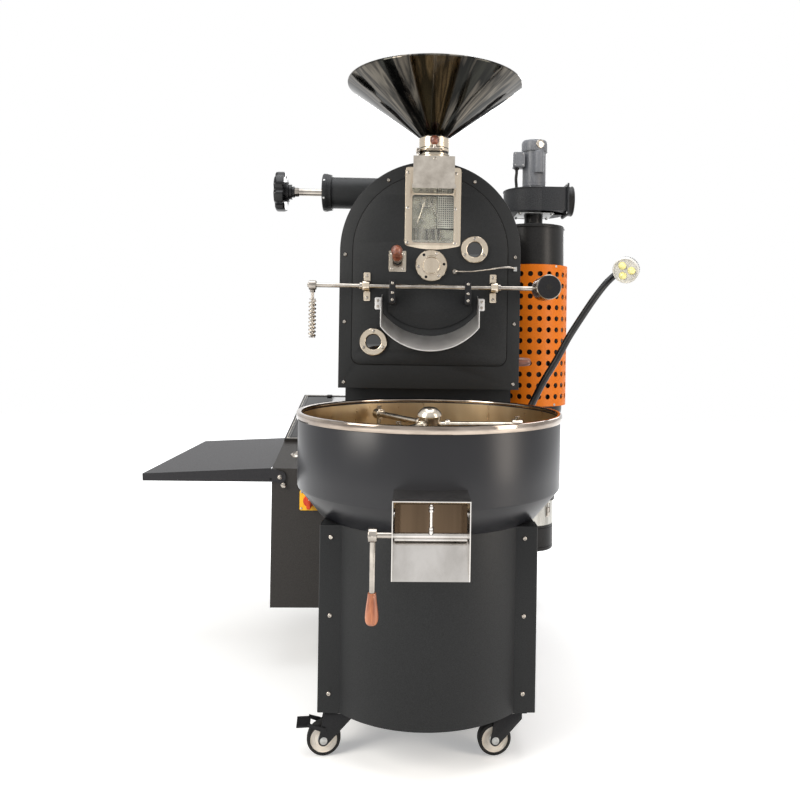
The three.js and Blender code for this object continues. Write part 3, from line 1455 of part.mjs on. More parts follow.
function makeSmokePipe() {
  const startX = smokeEndX - smokeRingLength;
  const profile = closed([
    [smokeRadius - smokeWall, smokeWall], [smokeRadius - smokeWall, -startX], [smokeRadius, -startX],
    [smokeRadius, smokeRingLength], [smokeRingRadius - smokeWall, smokeRingLength - smokeWall],
    [smokeRingRadius, smokeRingStep + smokeWall], [smokeRingRadius, smokeWall],
    [smokeRingRadius - smokeWall, 0],
    [spindleRadius + seatGap, 0], [spindleRadius + seatGap, smokeWall],
  ]);
  const pipe = shift(turned(profile, mediumSides, xAxis), startX, smokeY, smokeZ);
  const clear = housingHalfWidth + seatGap;
  const housing = upright(archShape(clear, standTopZ, faceArchZ), housingFrontY, housingRearY, mediumSides);
  piece('smoke_pipe', cut(pipe, housing), 'blackTexture');

  const spindle = rod(
    spindleRadius, damperPlugX - spindleOuterX, xAxis, spindleOuterX, smokeY, smokeZ, mediumSides,
  );
  const plug = rod(damperPlugRadius, damperPlugThickness, xAxis, damperPlugX, smokeY, smokeZ, mediumSides);
  const nut = rod(wheelNutRadius, wheelNutLength, xAxis, spindleOuterX, smokeY, smokeZ, hexSides);

  const rim = new THREE.Shape();
  const lobeSteps = handwheelLobes * smallSides;
  for (let i = 0; i < lobeSteps; i += 1) {
    const angle = (2 * Math.PI * i) / lobeSteps;
    const swell = Math.min(1, 1 + handwheelLobeShare * Math.cos(handwheelLobes * angle));
    const point = [handwheelRadius * swell * Math.cos(angle), handwheelRadius * swell * Math.sin(angle)];
    if (i === 0) rim.moveTo(...point);
    else rim.lineTo(...point);
  }
  const wheel = sideways(rim, 0, handwheelRimWidth).translate(handwheelX - handwheelRimWidth, smokeY, smokeZ);
  const hub = turned(
    [[0, 0], ...handwheelHubSteps, [0, handwheelHubSteps.at(-1)[1]]], mediumSides, xAxis,
  );
  hub.translate(handwheelX, smokeY, smokeZ);
  piece('handwheel', join(wheel, hub, spindle, plug, nut), 'plastic');
}

function makeCyclone() {
  const t = cycloneWall;
  const cap = cycloneRadius - t;
  const ringOut = shieldOuterRadius - shieldWall - seatGap;
  const body = turned(closed([
    [cycloneConeBottomRadius - t, cycloneConeBottomZ - t], [binLidRadius, cycloneConeBottomZ - 2 * t],
    [binLidRadius, cycloneConeBottomZ], [cycloneConeBottomRadius, cycloneConeBottomZ],
    [cycloneRadius, cycloneConeTopZ], [cycloneRadius, shieldBottomZ], [ringOut, shieldBottomZ],
    [ringOut, shieldBottomZ + shieldRingHeight], [cycloneRadius, shieldBottomZ + shieldRingHeight],
    [cycloneRadius, shieldTopZ - shieldRingHeight], [ringOut, shieldTopZ - shieldRingHeight],
    [ringOut, shieldTopZ],
    [cycloneRadius, shieldTopZ], [cycloneRadius, cycloneTopZ], [risePipeRadius, cycloneTopZ],
    [risePipeRadius, blowerBottomZ - t - seatGap], [risePipeRadius - t, blowerBottomZ - t - seatGap],
    [risePipeRadius - t, cycloneTopZ - t], [cap, cycloneTopZ - t], [cap, cycloneConeTopZ],
    [cycloneConeBottomRadius - t, cycloneConeBottomZ],
  ]), roundSides);
  const placed = shift(body, cycloneX, cycloneY, 0);
  const ductX = housingHalfWidth - ductOverlap;
  const duct = block(
    ductX, cycloneX - cycloneRadius / 2, cycloneY - ductHalfDepth, cycloneY + ductHalfDepth, ductBottomZ,
    ductTopZ,
  );
  const ductBore = block(
    ductX - overrun, cycloneX, cycloneY - ductHalfDepth + t, cycloneY + ductHalfDepth - t,
    ductBottomZ + t, ductTopZ - t,
  );
  const bodyCore = rod(
    cap, cycloneTopZ - t - cycloneConeTopZ, zAxis, cycloneX, cycloneY, cycloneConeTopZ, roundSides,
  );
  const housing = upright(
    archShape(housingHalfWidth + seatGap, standTopZ, faceArchZ), housingFrontY, standRearY, mediumSides,
  );
  const footX = baseHalfWidth + seatGap;
  const footY = cycloneY - cycloneFootDepth / 2;
  const foot = join(
    block(footX, footX + t, footY, footY + cycloneFootDepth, cycloneFootZ, cycloneFootZ + cycloneFootHeight),
    block(
      footX, cycloneX, cycloneY - t, cycloneY + t, cycloneFootZ, cycloneFootZ + cycloneFootHeight / 2,
    ),
  );
  const coneCore = turned([
    [0, cycloneConeBottomZ - 2 * t], [cycloneConeBottomRadius - t, cycloneConeBottomZ], [cap, cycloneConeTopZ],
    [0, cycloneConeTopZ],
  ], roundSides);
  coneCore.translate(cycloneX, cycloneY, 0);
  const shell = join(placed, cut(duct, bodyCore, housing), cut(foot, coneCore));
  piece('cyclone', cut(shell, cut(ductBore, housing)), 'blackTexture');

  piece('heat_shield', shift(turned(closed([
    [shieldOuterRadius - shieldWall, shieldBottomZ], [shieldOuterRadius, shieldBottomZ],
    [shieldOuterRadius, shieldTopZ], [shieldOuterRadius - shieldWall, shieldTopZ],
  ]), roundSides), cycloneX, cycloneY, 0), 'orange');

  const bin = turned([
    [0, binBottomZ], [binRadius, binBottomZ], [binRadius, binTopZ - t], [binLidRadius, binTopZ - t],
    [binLidRadius, binTopZ], [binRadius - t, binTopZ], [binRadius - t, binBottomZ + t], [0, binBottomZ + t],
  ], mediumSides);
  piece('chaff_bin', shift(bin, cycloneX, cycloneY, 0), 'stainless');
}

function makeBlower() {
  const t = cycloneWall;
  const height = blowerTopZ - blowerBottomZ;
  const scroll = rod(blowerRadius, height, zAxis, cycloneX, cycloneY, blowerBottomZ, mediumSides);
  const outletY = cycloneY - blowerRadius;
  const outlet = block(
    cycloneX, blowerFlangeX, outletY, outletY + blowerOutletWidth, blowerBottomZ, blowerTopZ,
  );
  const flangeY = outletY + blowerOutletWidth / 2;
  const half = blowerFlangeSide / 2;
  const flange = block(
    blowerFlangeX, blowerFlangeX + blowerFlangeThickness, flangeY - half, flangeY + half,
    blowerFlangeTopZ - blowerFlangeSide, blowerFlangeTopZ,
  );
  const plateHalf = blowerPlateSide / 2;
  const plate = block(
    cycloneX - plateHalf, cycloneX + plateHalf, cycloneY - plateHalf, cycloneY + plateHalf,
    blowerBottomZ - t, blowerBottomZ,
  );
  const chamber = rod(
    blowerRadius - t, height - 2 * t, zAxis, cycloneX, cycloneY, blowerBottomZ + t, mediumSides,
  );
  const inlet = rod(risePipeRadius, 4 * t, zAxis, cycloneX, cycloneY, blowerBottomZ - 2 * t, mediumSides);
  const bore = block(
    cycloneX, blowerFlangeX + blowerFlangeThickness + overrun, outletY + t, outletY + blowerOutletWidth - t,
    blowerBottomZ + t, blowerTopZ - t,
  );
  const body = join(scroll, outlet, flange, plate);
  const gland = rod(glandRadius, glandHeight, zAxis, cableX(), terminalBoxY, blowerTopZ, tinySides);
  piece('blower', join(cut(body, chamber, inlet, bore), gland), 'castIron');

  const foot = rod(motorFootRadius, motorFootHeight, zAxis, cycloneX, cycloneY, blowerTopZ, mediumSides);
  const frame = rod(motorRadius, motorTopZ - blowerTopZ, zAxis, cycloneX, cycloneY, blowerTopZ, mediumSides);
  const cap = turned([
    [0, motorTopZ], [motorCapRadius, motorTopZ], [motorCapRadius, motorCapTopZ - overrun],
    [motorCapRadius - overrun, motorCapTopZ], [0, motorCapTopZ],
  ], mediumSides).translate(cycloneX, cycloneY, 0);
  const box = block(
    terminalBoxX - terminalBoxWidth / 2, terminalBoxX + terminalBoxWidth / 2,
    terminalBoxY - terminalBoxDepth / 2,
    terminalBoxY + terminalBoxDepth / 2, terminalBoxZ, terminalBoxZ + terminalBoxHeight,
  );
  const capacitor = rod(
    capacitorRadius, capacitorHeight, zAxis, capacitorX, capacitorY, capacitorZ, smallSides,
  );
  const boxGland = rod(
    glandRadius, glandHeight, zAxis, cableX(), terminalBoxY, terminalBoxZ - glandHeight, tinySides,
  );
  piece('blower_motor', join(foot, frame, cap, box, capacitor, boxGland), 'motorGrey');

  const bottom = blowerTopZ + glandHeight + seatGap;
  const top = terminalBoxZ - glandHeight - seatGap;
  const x = cableX();
  const y = terminalBoxY;
  const rise = top - bottom;
  const run = [
    [x, y, bottom], [x, y, bottom + rise * cableEndShare], [x - cableBow, y - cableBow, (bottom + top) / 2],
    [x, y, top - rise * cableEndShare], [x, y, top],
  ];
  piece('motor_cable', bar(run, cableRadius, cableSteps, cordSides), 'rubber');
}

function cableX() {
  return terminalBoxX - terminalBoxWidth / 2 + glandRadius + cableRadius;
}

makeSmokePipe();
makeCyclone();
makeBlower();

// Control cabinet with its sloped console, and the folding side shelf

const consoleRise = (cabinetRearTopZ - cabinetFrontTopZ) / (cabinetRearY - cabinetFrontY);
const consoleTilt = Math.atan(consoleRise);
const cabinetRightX = -baseHalfWidth - seatGap;

function consoleZ(y) {
  return cabinetFrontTopZ + (y - cabinetFrontY) * consoleRise;
}

function cabinetProfile(inset) {
  return polygon([
    [cabinetFrontY + inset, cabinetBottomZ + inset], [cabinetRearY - inset, cabinetBottomZ + inset],
    [cabinetRearY - inset, consoleZ(cabinetRearY - inset) - inset],
    [cabinetFrontY + inset, consoleZ(cabinetFrontY + inset) - inset],
  ]);
}

function onConsole(geometry, x, y, lift) {
  geometry.rotateX(consoleTilt);
  return shift(geometry, x, y - lift * Math.sin(consoleTilt), consoleZ(y) + lift * Math.cos(consoleTilt));
}

function makeCabinet() {
  const t = stainlessSheet;
  const shell = sideways(cabinetProfile(0), cabinetLeftX, cabinetRightX);
  const hollow = sideways(cabinetProfile(t), cabinetLeftX + t, cabinetRightX - t);
  const wiring = rod(
    cabinetHoleRadius, 2 * overrun, xAxis, cabinetRightX - overrun, (cabinetFrontY + cabinetRearY) / 2,
    cabinetFrontTopZ - 2 * cabinetHoleRadius, mediumSides,
  );
  const bezelLength = (bezelEndY - bezelStartY) / Math.cos(consoleTilt);
  const bezelHalfWidth = (cabinetRightX - bezelRightInset - cabinetLeftX) / 2;
  const bezelX = cabinetLeftX + bezelHalfWidth;
  const bezelY = (bezelStartY + bezelEndY) / 2;
  const frame = block(-bezelHalfWidth, bezelHalfWidth, -bezelLength / 2, bezelLength / 2, -t / 2, bezelRaise);
  const pocketHalf = bezelHalfWidth - bezelFrame;
  const pocketLength = bezelLength / 2 - bezelFrame;
  const pocket = block(
    -pocketHalf, pocketHalf, -pocketLength, pocketLength, bezelRaise - screenThickness, bezelRaise + overrun,
  );
  const ring = rod(buttonRingRadius, buttonRingHeight + t / 2, zAxis, 0, 0, -t / 2, mediumSides);
  const buttonHole = rod(buttonRadius + seatGap, 4 * overrun, zAxis, 0, 0, -2 * overrun, mediumSides);
  const switchPlate = block(
    switchX - switchPlateSide / 2, switchX + switchPlateSide / 2, cabinetFrontY - switchPlateThickness,
    cabinetFrontY,
    switchZ - switchPlateSide / 2, switchZ + switchPlateSide / 2,
  );
  const switchHole = rod(
    switchStemRadius + seatGap, 4 * overrun, yAxis, switchX, cabinetFrontY - 2 * overrun, switchZ,
  );
  const pivots = [-1, 1].map((side) => {
    const start = side < 0 ? cabinetFrontY - shelfStudHeight : cabinetRearY;
    return rod(shelfPivotRadius, shelfStudHeight, yAxis, shelfPivotX, start, shelfPivotZ);
  });
  const cabinet = join(
    cut(shell, hollow, wiring), cut(onConsole(frame, bezelX, bezelY, 0), onConsole(pocket, bezelX, bezelY, 0)),
    onConsole(ring, buttonX, buttonY, 0), switchPlate, ...pivots,
  );
  piece(
    'control_cabinet', cut(cabinet, onConsole(buttonHole, buttonX, buttonY, 0), switchHole), 'cabinetPaint',
  );

  const edge = 2 * seatGap;
  const pane = block(
    -pocketHalf + edge, pocketHalf - edge, -pocketLength + edge, pocketLength - edge, 0,
    screenThickness - seatGap,
  );
  piece('screen', onConsole(pane, bezelX, bezelY, bezelRaise - screenThickness + seatGap), 'plastic');

  const cap = rod(buttonRadius, buttonHeight, zAxis, 0, 0, -buttonStem, mediumSides);
  const stem = rod(buttonBore, 2 * buttonStem, zAxis, 0, 0, -2 * buttonStem, smallSides);
  piece('push_button', onConsole(join(cap, stem), buttonX, buttonY, 0), 'chromed');

  const front = cabinetFrontY - switchPlateThickness - seatGap;
  const knob = join(
    rod(switchHubRadius, switchHubLength, yAxis, switchX, front - switchHubLength, switchZ, mediumSides),
    block(
      switchX - switchBarWidth / 2, switchX + switchBarWidth / 2,
      front - switchHubLength - switchBarHeight, front - seatGap,
      switchZ - switchBarLength / 2, switchZ + switchBarLength / 2,
    ),
    rod(switchStemRadius, switchStemLength + overrun, yAxis, switchX, front - overrun, switchZ),
  );
  piece('main_switch', knob, 'red');
}

// The shelf's front and rear flanges run on as tongues that hang on the cabinet's pivot studs.
function makeShelf() {
  const hinge = group(shelfPivotX, 0, shelfPivotZ);
  hinge.rotation.y = -shelfDroopDegrees * degrees;
  const right = cabinetLeftX - shelfGap - shelfPivotX;
  const left = right - shelfWidth;
  const top = shelfTopZ - shelfPivotZ;
  const sheetMetal = block(left, right, shelfFrontY, shelfRearY, top - shelfSheet, top);
  const flange = new THREE.Shape();
  flange.moveTo(left, top);
  flange.lineTo(left, top - shelfOuterFlange);
  flange.lineTo(right, top - shelfInnerFlange);
  flange.absarc(0, 0, shelfTongueRadius, ...tongueTurnShares.map((share) => share * Math.PI), false);
  flange.lineTo(right, top);
  const front = upright(flange, shelfFrontY, shelfFrontY + shelfSheet, smallSides);
  const rear = upright(flange, shelfRearY - shelfSheet, shelfRearY, smallSides);
  const bore = rod(
    shelfPivotRadius + seatGap, shelfRearY - shelfFrontY + 2 * overrun, yAxis, 0, shelfFrontY - overrun, 0,
    smallSides,
  );
  piece('side_shelf', cut(join(sheetMetal, front, rear), bore), 'cabinetPaint', hinge);
}

// Work lamp: a gooseneck on a foot that turns on the stand's lamp boss, and a head that tilts

function makeLamp() {
  const foot = [baseHalfWidth + lampBossWidth / 2, lampBossY, lampBossZ + lampBossHeight + seatGap];
  const base = rod(lampFootRadius, lampFootHeight, zAxis, ...foot, mediumSides);
  const run = [[foot[0], foot[1], foot[2] + lampFootHeight / 2], ...lampRun];
  const neck = bar(run, lampNeckRadius, 2 * run.length, cordSides);
  const pivot = run.at(-1);
  const ball = new THREE.SphereGeometry(lampBallRadius, mediumSides, smallSides).translate(...pivot);
  const socket = new THREE.SphereGeometry(lampBallRadius + lampSocketGap, mediumSides, smallSides).translate(
    ...pivot,
  );
  piece('gooseneck', join(base, neck, ball), 'plastic');

  const aim = new THREE.Vector3(...lampAim).normalize();
  const head = turned([
    [0, -lampHeadDepth - lampRearDepth], [lampRearRadius - overrun, -lampHeadDepth - lampRearDepth],
    [lampRearRadius, -lampHeadDepth - lampRearDepth + overrun], [lampRearRadius, -lampHeadDepth],
    [lampHeadRadius, -lampHeadDepth], [lampHeadRadius, 0], [0, 0],
  ], mediumSides);
  const domes = [0, 1, 2].map((i) => {
    const angle = (i * 2 * Math.PI) / 3 + Math.PI / 2;
    const place = [lampLedRing * Math.cos(angle), lampLedRing * Math.sin(angle), -lampLedHeight];
    return rod(lampLedRadius, 2 * lampLedHeight, zAxis, ...place);
  });
  const lens = shift(join(head, ...domes), 0, 0, lampHeadDepth + lampRearDepth);
  lens.applyQuaternion(new THREE.Quaternion().setFromUnitVectors(zAxis, aim));
  piece('lamp_head', cut(shift(lens, ...pivot), socket), 'motorGrey');
}

makeCabinet();
makeShelf();
makeLamp();

// The finished part stands on the floor with its origin under the middle of its box.
roaster.updateMatrixWorld(true);
const box = new THREE.Box3().setFromObject(roaster, true);
roaster.position.set(-(box.min.x + box.max.x) / 2, -(box.min.y + box.max.y) / 2, -box.min.z);
roaster.updateMatrixWorld(true);

export default roaster;
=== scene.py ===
import math

import bmesh
import bpy
from mathutils import Matrix, Vector


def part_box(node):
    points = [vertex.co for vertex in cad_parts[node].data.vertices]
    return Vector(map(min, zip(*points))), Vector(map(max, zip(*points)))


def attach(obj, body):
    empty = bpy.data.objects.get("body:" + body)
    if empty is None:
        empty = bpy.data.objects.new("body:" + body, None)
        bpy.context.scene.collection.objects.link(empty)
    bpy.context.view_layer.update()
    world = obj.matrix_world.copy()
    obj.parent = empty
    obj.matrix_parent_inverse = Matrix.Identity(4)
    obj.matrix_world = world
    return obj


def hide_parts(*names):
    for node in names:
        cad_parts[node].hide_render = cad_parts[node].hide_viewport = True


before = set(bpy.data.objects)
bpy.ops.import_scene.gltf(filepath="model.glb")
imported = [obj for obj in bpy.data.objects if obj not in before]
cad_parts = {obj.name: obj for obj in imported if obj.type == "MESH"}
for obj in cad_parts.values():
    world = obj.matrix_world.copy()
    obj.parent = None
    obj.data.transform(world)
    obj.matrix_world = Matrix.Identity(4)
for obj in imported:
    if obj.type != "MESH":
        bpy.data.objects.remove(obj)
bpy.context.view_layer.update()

# Places are in millimetres, as in the part's source, from the floor under the middle of the cooling tray.
MM = 0.001
rim_low, rim_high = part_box("tray_rim")
TRAY_X = (rim_low[0] + rim_high[0]) / 2
TRAY_Y = (rim_low[1] + rim_high[1]) / 2
MERGE_DISTANCE = 1e-6
SHARP_DEGREES = 35
COIL_STEPS = 32
scene = bpy.context.scene


def here(x, y, z):
    """A place in the frame's metres."""
    return Vector((TRAY_X + x * MM, TRAY_Y + y * MM, z * MM))


# Shape helpers. A shape is (points, faces) in millimetres.

X, Y, Z = Vector((1, 0, 0)), Vector((0, 1, 0)), Vector((0, 0, 1))


def joined(*shapes):
    points, faces = [], []
    for shape_points, shape_faces in shapes:
        start = len(points)
        points += list(shape_points)
        faces += [tuple(i + start for i in face) for face in shape_faces]
    return points, faces


def moved(shape, x=0, y=0, z=0):
    return [(p[0] + x, p[1] + y, p[2] + z) for p in shape[0]], shape[1]


def turned(shape, axis, degrees, centre=(0, 0, 0)):
    spin = Matrix.Rotation(math.radians(degrees), 3, axis)
    c = Vector(centre)
    return [tuple(spin @ (Vector(p) - c) + c) for p in shape[0]], shape[1]


def ring_faces(a, b):
    """The faces between two rings of points, either of which may be a single point."""
    count = max(len(a), len(b))
    faces = []
    for i in range(count):
        k = (i + 1) % count
        if len(a) == 1 and len(b) > 1:
            faces.append((a[0], b[i], b[k]))
        elif len(b) == 1 and len(a) > 1:
            faces.append((a[i], b[0], a[k]))
        elif len(a) > 1:
            faces.append((a[i], b[i], b[k], a[k]))
    return faces


def lathe(profile, centre=(0, 0, 0), axis=Z, sides=72, closed=False):
    """A profile of (radius, distance along the axis) turned about an axis through a centre."""
    toward = Z.rotation_difference(Vector(axis))
    c = Vector(centre)
    points, faces, rings = [], [], []
    for radius, along in profile:
        first = len(points)
        if radius < 1e-6:
            points.append(tuple(c + toward @ Vector((0, 0, along))))
            rings.append([first])
            continue
        points += [tuple(c + toward @ Vector((x, y, along))) for x, y in circle(0, 0, radius, sides)]
        rings.append(list(range(first, first + sides)))
    pairs = list(zip(rings, rings[1:]))
    if closed:
        pairs.append((rings[-1], rings[0]))
    for a, b in pairs:
        faces += ring_faces(a, b)
    return points, faces


def ring(profile, centre=(0, 0, 0), axis=Z, sides=72):
    """A closed profile turned about an axis, so that it leaves a hole."""
    return lathe(profile, centre, axis, sides, closed=True)


def bevelled(inner, outer, low, high, cut=1.0):
    """The profile of a ring or disc with its outer corners cut."""
    return [
        (inner, low), (outer - cut, low), (outer, low + cut),
        (outer, high - cut), (outer - cut, high), (inner, high),
    ]


def rod(radius, start, axis, length, sides=32):
    return lathe([(0, 0), (radius, 0), (radius, length), (0, length)], start, axis, sides)


def box(x0, x1, y0, y1, z0, z1):
    points = [(x, y, z) for x in (x0, x1) for y in (y0, y1) for z in (z0, z1)]
    faces = [(0, 1, 3, 2), (4, 6, 7, 5), (0, 4, 5, 1), (2, 3, 7, 6), (0, 2, 6, 4), (1, 5, 7, 3)]
    return points, faces


def around(cx, cz, radius, degrees):
    """Spots on a circle, one for each of the angles given."""
    return [(cx + radius * math.cos(math.radians(a)), cz + radius * math.sin(math.radians(a))) for a in degrees]


def arc(cx, cz, radius, start, end, steps=12):
    return around(cx, cz, radius, [start + (end - start) * i / steps for i in range(steps + 1)])


def circle(cx, cz, radius, steps=32):
    return around(cx, cz, radius, [360 * i / steps for i in range(steps)])


def rounded(x0, x1, z0, z1, radius, steps=6):
    corners = [(x1 - radius, z0 + radius, -90), (x1 - radius, z1 - radius, 0)]
    corners += [(x0 + radius, z1 - radius, 90), (x0 + radius, z0 + radius, 180)]
    return [p for cx, cz, start in corners for p in arc(cx, cz, radius, start, start + 90, steps)]


def rectangle(x0, x1, z0, z1):
    return [(x0, z0), (x1, z0), (x1, z1), (x0, z1)]


def plate(outline, plane, start, end, edge=0.5, holes=()):
    """A flat outline with holes, filled from start to end across its plane, with rounded edges."""
    curve = bpy.data.curves.new("outline", "CURVE")
    curve.dimensions = "2D"
    curve.fill_mode = "BOTH"
    curve.extrude = abs(end - start) / 2 - edge
    curve.bevel_depth = edge
    curve.bevel_resolution = 1
    curve.offset = -edge
    for points in [outline, *holes]:
        spline = curve.splines.new("POLY")
        spline.points.add(len(points) - 1)
        for point, (a, b) in zip(spline.points, points):
            point.co = (a, b, 0, 1)
        spline.use_cyclic_u = True
    holder = bpy.data.objects.new("outline", curve)
    mesh = bpy.data.meshes.new_from_object(holder)
    middle = (start + end) / 2
    places = {
        "XZ": lambda v: (v.x, middle + v.z, v.y),
        "XY": lambda v: (v.x, v.y, middle + v.z),
        "YZ": lambda v: (middle + v.z, v.x, v.y),
    }
    points = [places[plane](v.co) for v in mesh.vertices]
    faces = [tuple(p.vertices) for p in mesh.polygons]
    bpy.data.objects.remove(holder)
    bpy.data.curves.remove(curve)
    bpy.data.meshes.remove(mesh)
    return points, faces


def smooth_run(points, steps=8):
    """A Catmull-Rom run through points."""
    run = []
    ends = [points[0], *points, points[-1]]
    for a, b, c, d in zip(ends, ends[1:], ends[2:], ends[3:]):
        a, b, c, d = (Vector(p) for p in (a, b, c, d))
        for i in range(steps):
            t = i / steps
            run.append(0.5 * (
                2 * b + (c - a) * t + (2 * a - 5 * b + 4 * c - d) * t * t + (3 * b - a - 3 * c + d) * t ** 3
            ))
    run.append(Vector(points[-1]))
    return run


def tube(run, radius, sides=16):
    """A round bar along a run of close points. The radius may be a function of the share of the way."""
    run = [Vector(p) for p in run]
    points, faces, rings = [], [], []
    across = None
    for i, p in enumerate(run):
        ahead = run[min(i + 1, len(run) - 1)] - run[max(i - 1, 0)]
        ahead.normalize()
        if across is None:
            across = ahead.orthogonal().normalized()
        across = (across - ahead * across.dot(ahead)).normalized()
        other = ahead.cross(across)
        size = radius(i / (len(run) - 1)) if callable(radius) else radius
        first = len(points)
        points += [tuple(p + size * (across * a + other * b)) for a, b in circle(0, 0, 1, sides)]
        rings.append(list(range(first, first + sides)))
    for a, b in zip(rings, rings[1:]):
        faces += ring_faces(a, b)
    faces += [tuple(reversed(rings[0])), tuple(rings[-1])]
    return points, faces


def coil(centre, radius, wire, pitch, turns):
    """A wire wound downwards about an upright line."""
    round_run = arc(centre[0], centre[1], radius, 0, 360 * turns, turns * COIL_STEPS)
    return tube([(x, y, centre[2] - pitch * i / COIL_STEPS) for i, (x, y) in enumerate(round_run)], wire, 12)


def add(name, shape, finish, body="machine", instead=(), angle=SHARP_DEGREES, edge=0.0):
    """Makes a piece of the object, in its place, with its finish, riding on its body."""
    points, faces = shape
    mesh = bpy.data.meshes.new(name)
    mesh.from_pydata([here(*p) for p in points], [], faces)
    work = bmesh.new()
    work.from_mesh(mesh)
    bmesh.ops.remove_doubles(work, verts=work.verts, dist=MERGE_DISTANCE)
    bmesh.ops.recalc_face_normals(work, faces=work.faces)
    work.to_mesh(mesh)
    work.free()
    material, slot = FINISHES[finish]
    mesh.materials.append(material)
    mesh.shade_smooth()
    mesh.set_sharp_from_angle(angle=math.radians(angle))
    piece = bpy.data.objects.new(name, mesh)
    scene.collection.objects.link(piece)
    if edge:
        soften(piece, edge)
    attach(piece, body)
    if instead:
        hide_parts(*instead)


def soften(piece, edge):
    bevel = piece.modifiers.new("soft_edges", "BEVEL")
    bevel.width = edge * MM
    bevel.segments = 2
    bevel.limit_method = "ANGLE"
    bevel.angle_limit = math.radians(SHARP_DEGREES)
    bevel.miter_outer = "MITER_ARC"


def dress(node, finish, edge=0.0):
    """Gives a CAD node its finish, and a rounded edge by a modifier."""
    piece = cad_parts[node]
    piece.data.materials.clear()
    piece.data.materials.append(FINISHES[finish][0])
    if edge:
        soften(piece, edge)


# Finishes. Colours are written as sRGB shades from 0 to 255.

def shade(r, g, b):
    def linear(v):
        v /= 255
        return v / 12.92 if v <= 0.04045 else ((v + 0.055) / 1.055) ** 2.4
    return (linear(r), linear(g), linear(b), 1.0)


def feed(node, inputs):
    """Gives a node's inputs their values, or links them where a socket is given."""
    for key, value in inputs.items():
        if isinstance(value, bpy.types.NodeSocket):
            node.id_data.links.new(value, node.inputs[key])
        else:
            node.inputs[key].default_value = value
    return node


def new_node(tree, kind, inputs, **settings):
    node = tree.nodes.new(kind)
    for key, value in settings.items():
        setattr(node, key, value)
    return feed(node, inputs)


FINISHES = {}
# In metres.
HOPPER_THROAT = (0.0977, -0.086, 1.475)


class Finish:
    """A node material in the making, kept under its name with the record's slot that it stands for."""

    def __init__(self, name, slot, colour, rough, metal=0.0):
        self.material = bpy.data.materials.new(name)
        self.material.use_nodes = True
        self.tree = self.material.node_tree
        self.shader = self.tree.nodes["Principled BSDF"]
        self.give(Base_Color=shade(*colour), Roughness=rough, Metallic=metal)
        self.coordinates = self.tree.nodes.new("ShaderNodeTexCoord").outputs["Object"]
        FINISHES[name] = (self.material, slot)

    def give(self, **inputs):
        feed(self.shader, {key.replace("_", " "): value for key, value in inputs.items()})

    def node(self, kind, inputs, **settings):
        return new_node(self.tree, kind, inputs, **settings)

    def math(self, operation, *values):
        return self.node("ShaderNodeMath", dict(enumerate(values)), operation=operation).outputs["Value"]

    def noise(self, scale, detail, stretch=None, rough=0.5):
        source = self.coordinates
        if stretch:
            source = self.node("ShaderNodeMapping", {"Vector": source, "Scale": stretch}).outputs["Vector"]
        inputs = {"Scale": scale, "Detail": detail, "Roughness": rough, "Vector": source}
        return self.node("ShaderNodeTexNoise", inputs).outputs["Fac"]

    def ramp(self, value, stops):
        """Colour by stops of (place, shade)."""
        node = self.node("ShaderNodeValToRGB", {"Fac": value})
        elements = node.color_ramp.elements
        while len(elements) < len(stops):
            elements.new(0.5)
        for element, (place, colour) in zip(elements, stops):
            element.position = place
            element.color = shade(*colour)
        self.give(Base_Color=node.outputs["Color"])

    def tone(self, value, low, high):
        """Colour that goes from low to high with a value."""
        self.ramp(value, [(0.35, low), (0.65, high)])

    def gloss(self, value, low, high):
        """Roughness that goes from low to high with a value."""
        inputs = {"Value": value, "From Min": 0.3, "From Max": 0.7, "To Min": low, "To Max": high}
        self.give(Roughness=self.node("ShaderNodeMapRange", inputs).outputs["Result"])

    def dots(self, pitch, share):
        """0 inside round holes at an even pitch, 1 between them."""
        parts = self.node("ShaderNodeSeparateXYZ", {"Vector": self.coordinates})
        squares = []
        for way in ("X", "Y"):
            cell = self.math("FRACT", self.math("DIVIDE", parts.outputs[way], pitch))
            squares.append(self.math("POWER", self.math("ABSOLUTE", self.math("SUBTRACT", cell, 0.5)), 2.0))
        return self.math("GREATER_THAN", self.math("SQRT", self.math("ADD", *squares)), share)

    def bump(self, value, strength, depth):
        inputs = {"Height": value, "Strength": strength, "Distance": depth}
        self.give(Normal=self.node("ShaderNodeBump", inputs).outputs["Normal"])


def powder_coat(name, slot, low, high, rough, grain=900, strength=0.35):
    """Fine textured powder coat: small even bumps and a faint uneven sheen."""
    made = Finish(name, slot, high, rough)
    made.tone(made.noise(grain * 0.6, 3), low, high)
    made.gloss(made.noise(grain * 0.5, 2), rough - 0.04, rough + 0.05)
    made.bump(made.noise(grain, 2), strength, 0.0004)
    made.give(Specular_IOR_Level=0.22)


def polished(name, slot, low, high, rough, stretch=None, scale=30):
    """Polished or brushed metal with faint wipe marks."""
    made = Finish(name, slot, high, rough, 1.0)
    made.tone(made.noise(scale, 4, stretch), low, high)
    made.gloss(made.noise(60, 3, stretch), max(rough - 0.03, 0.03), rough + 0.04)
    if stretch:
        made.bump(made.noise(scale * 6, 2, stretch), 0.06, 0.0002)


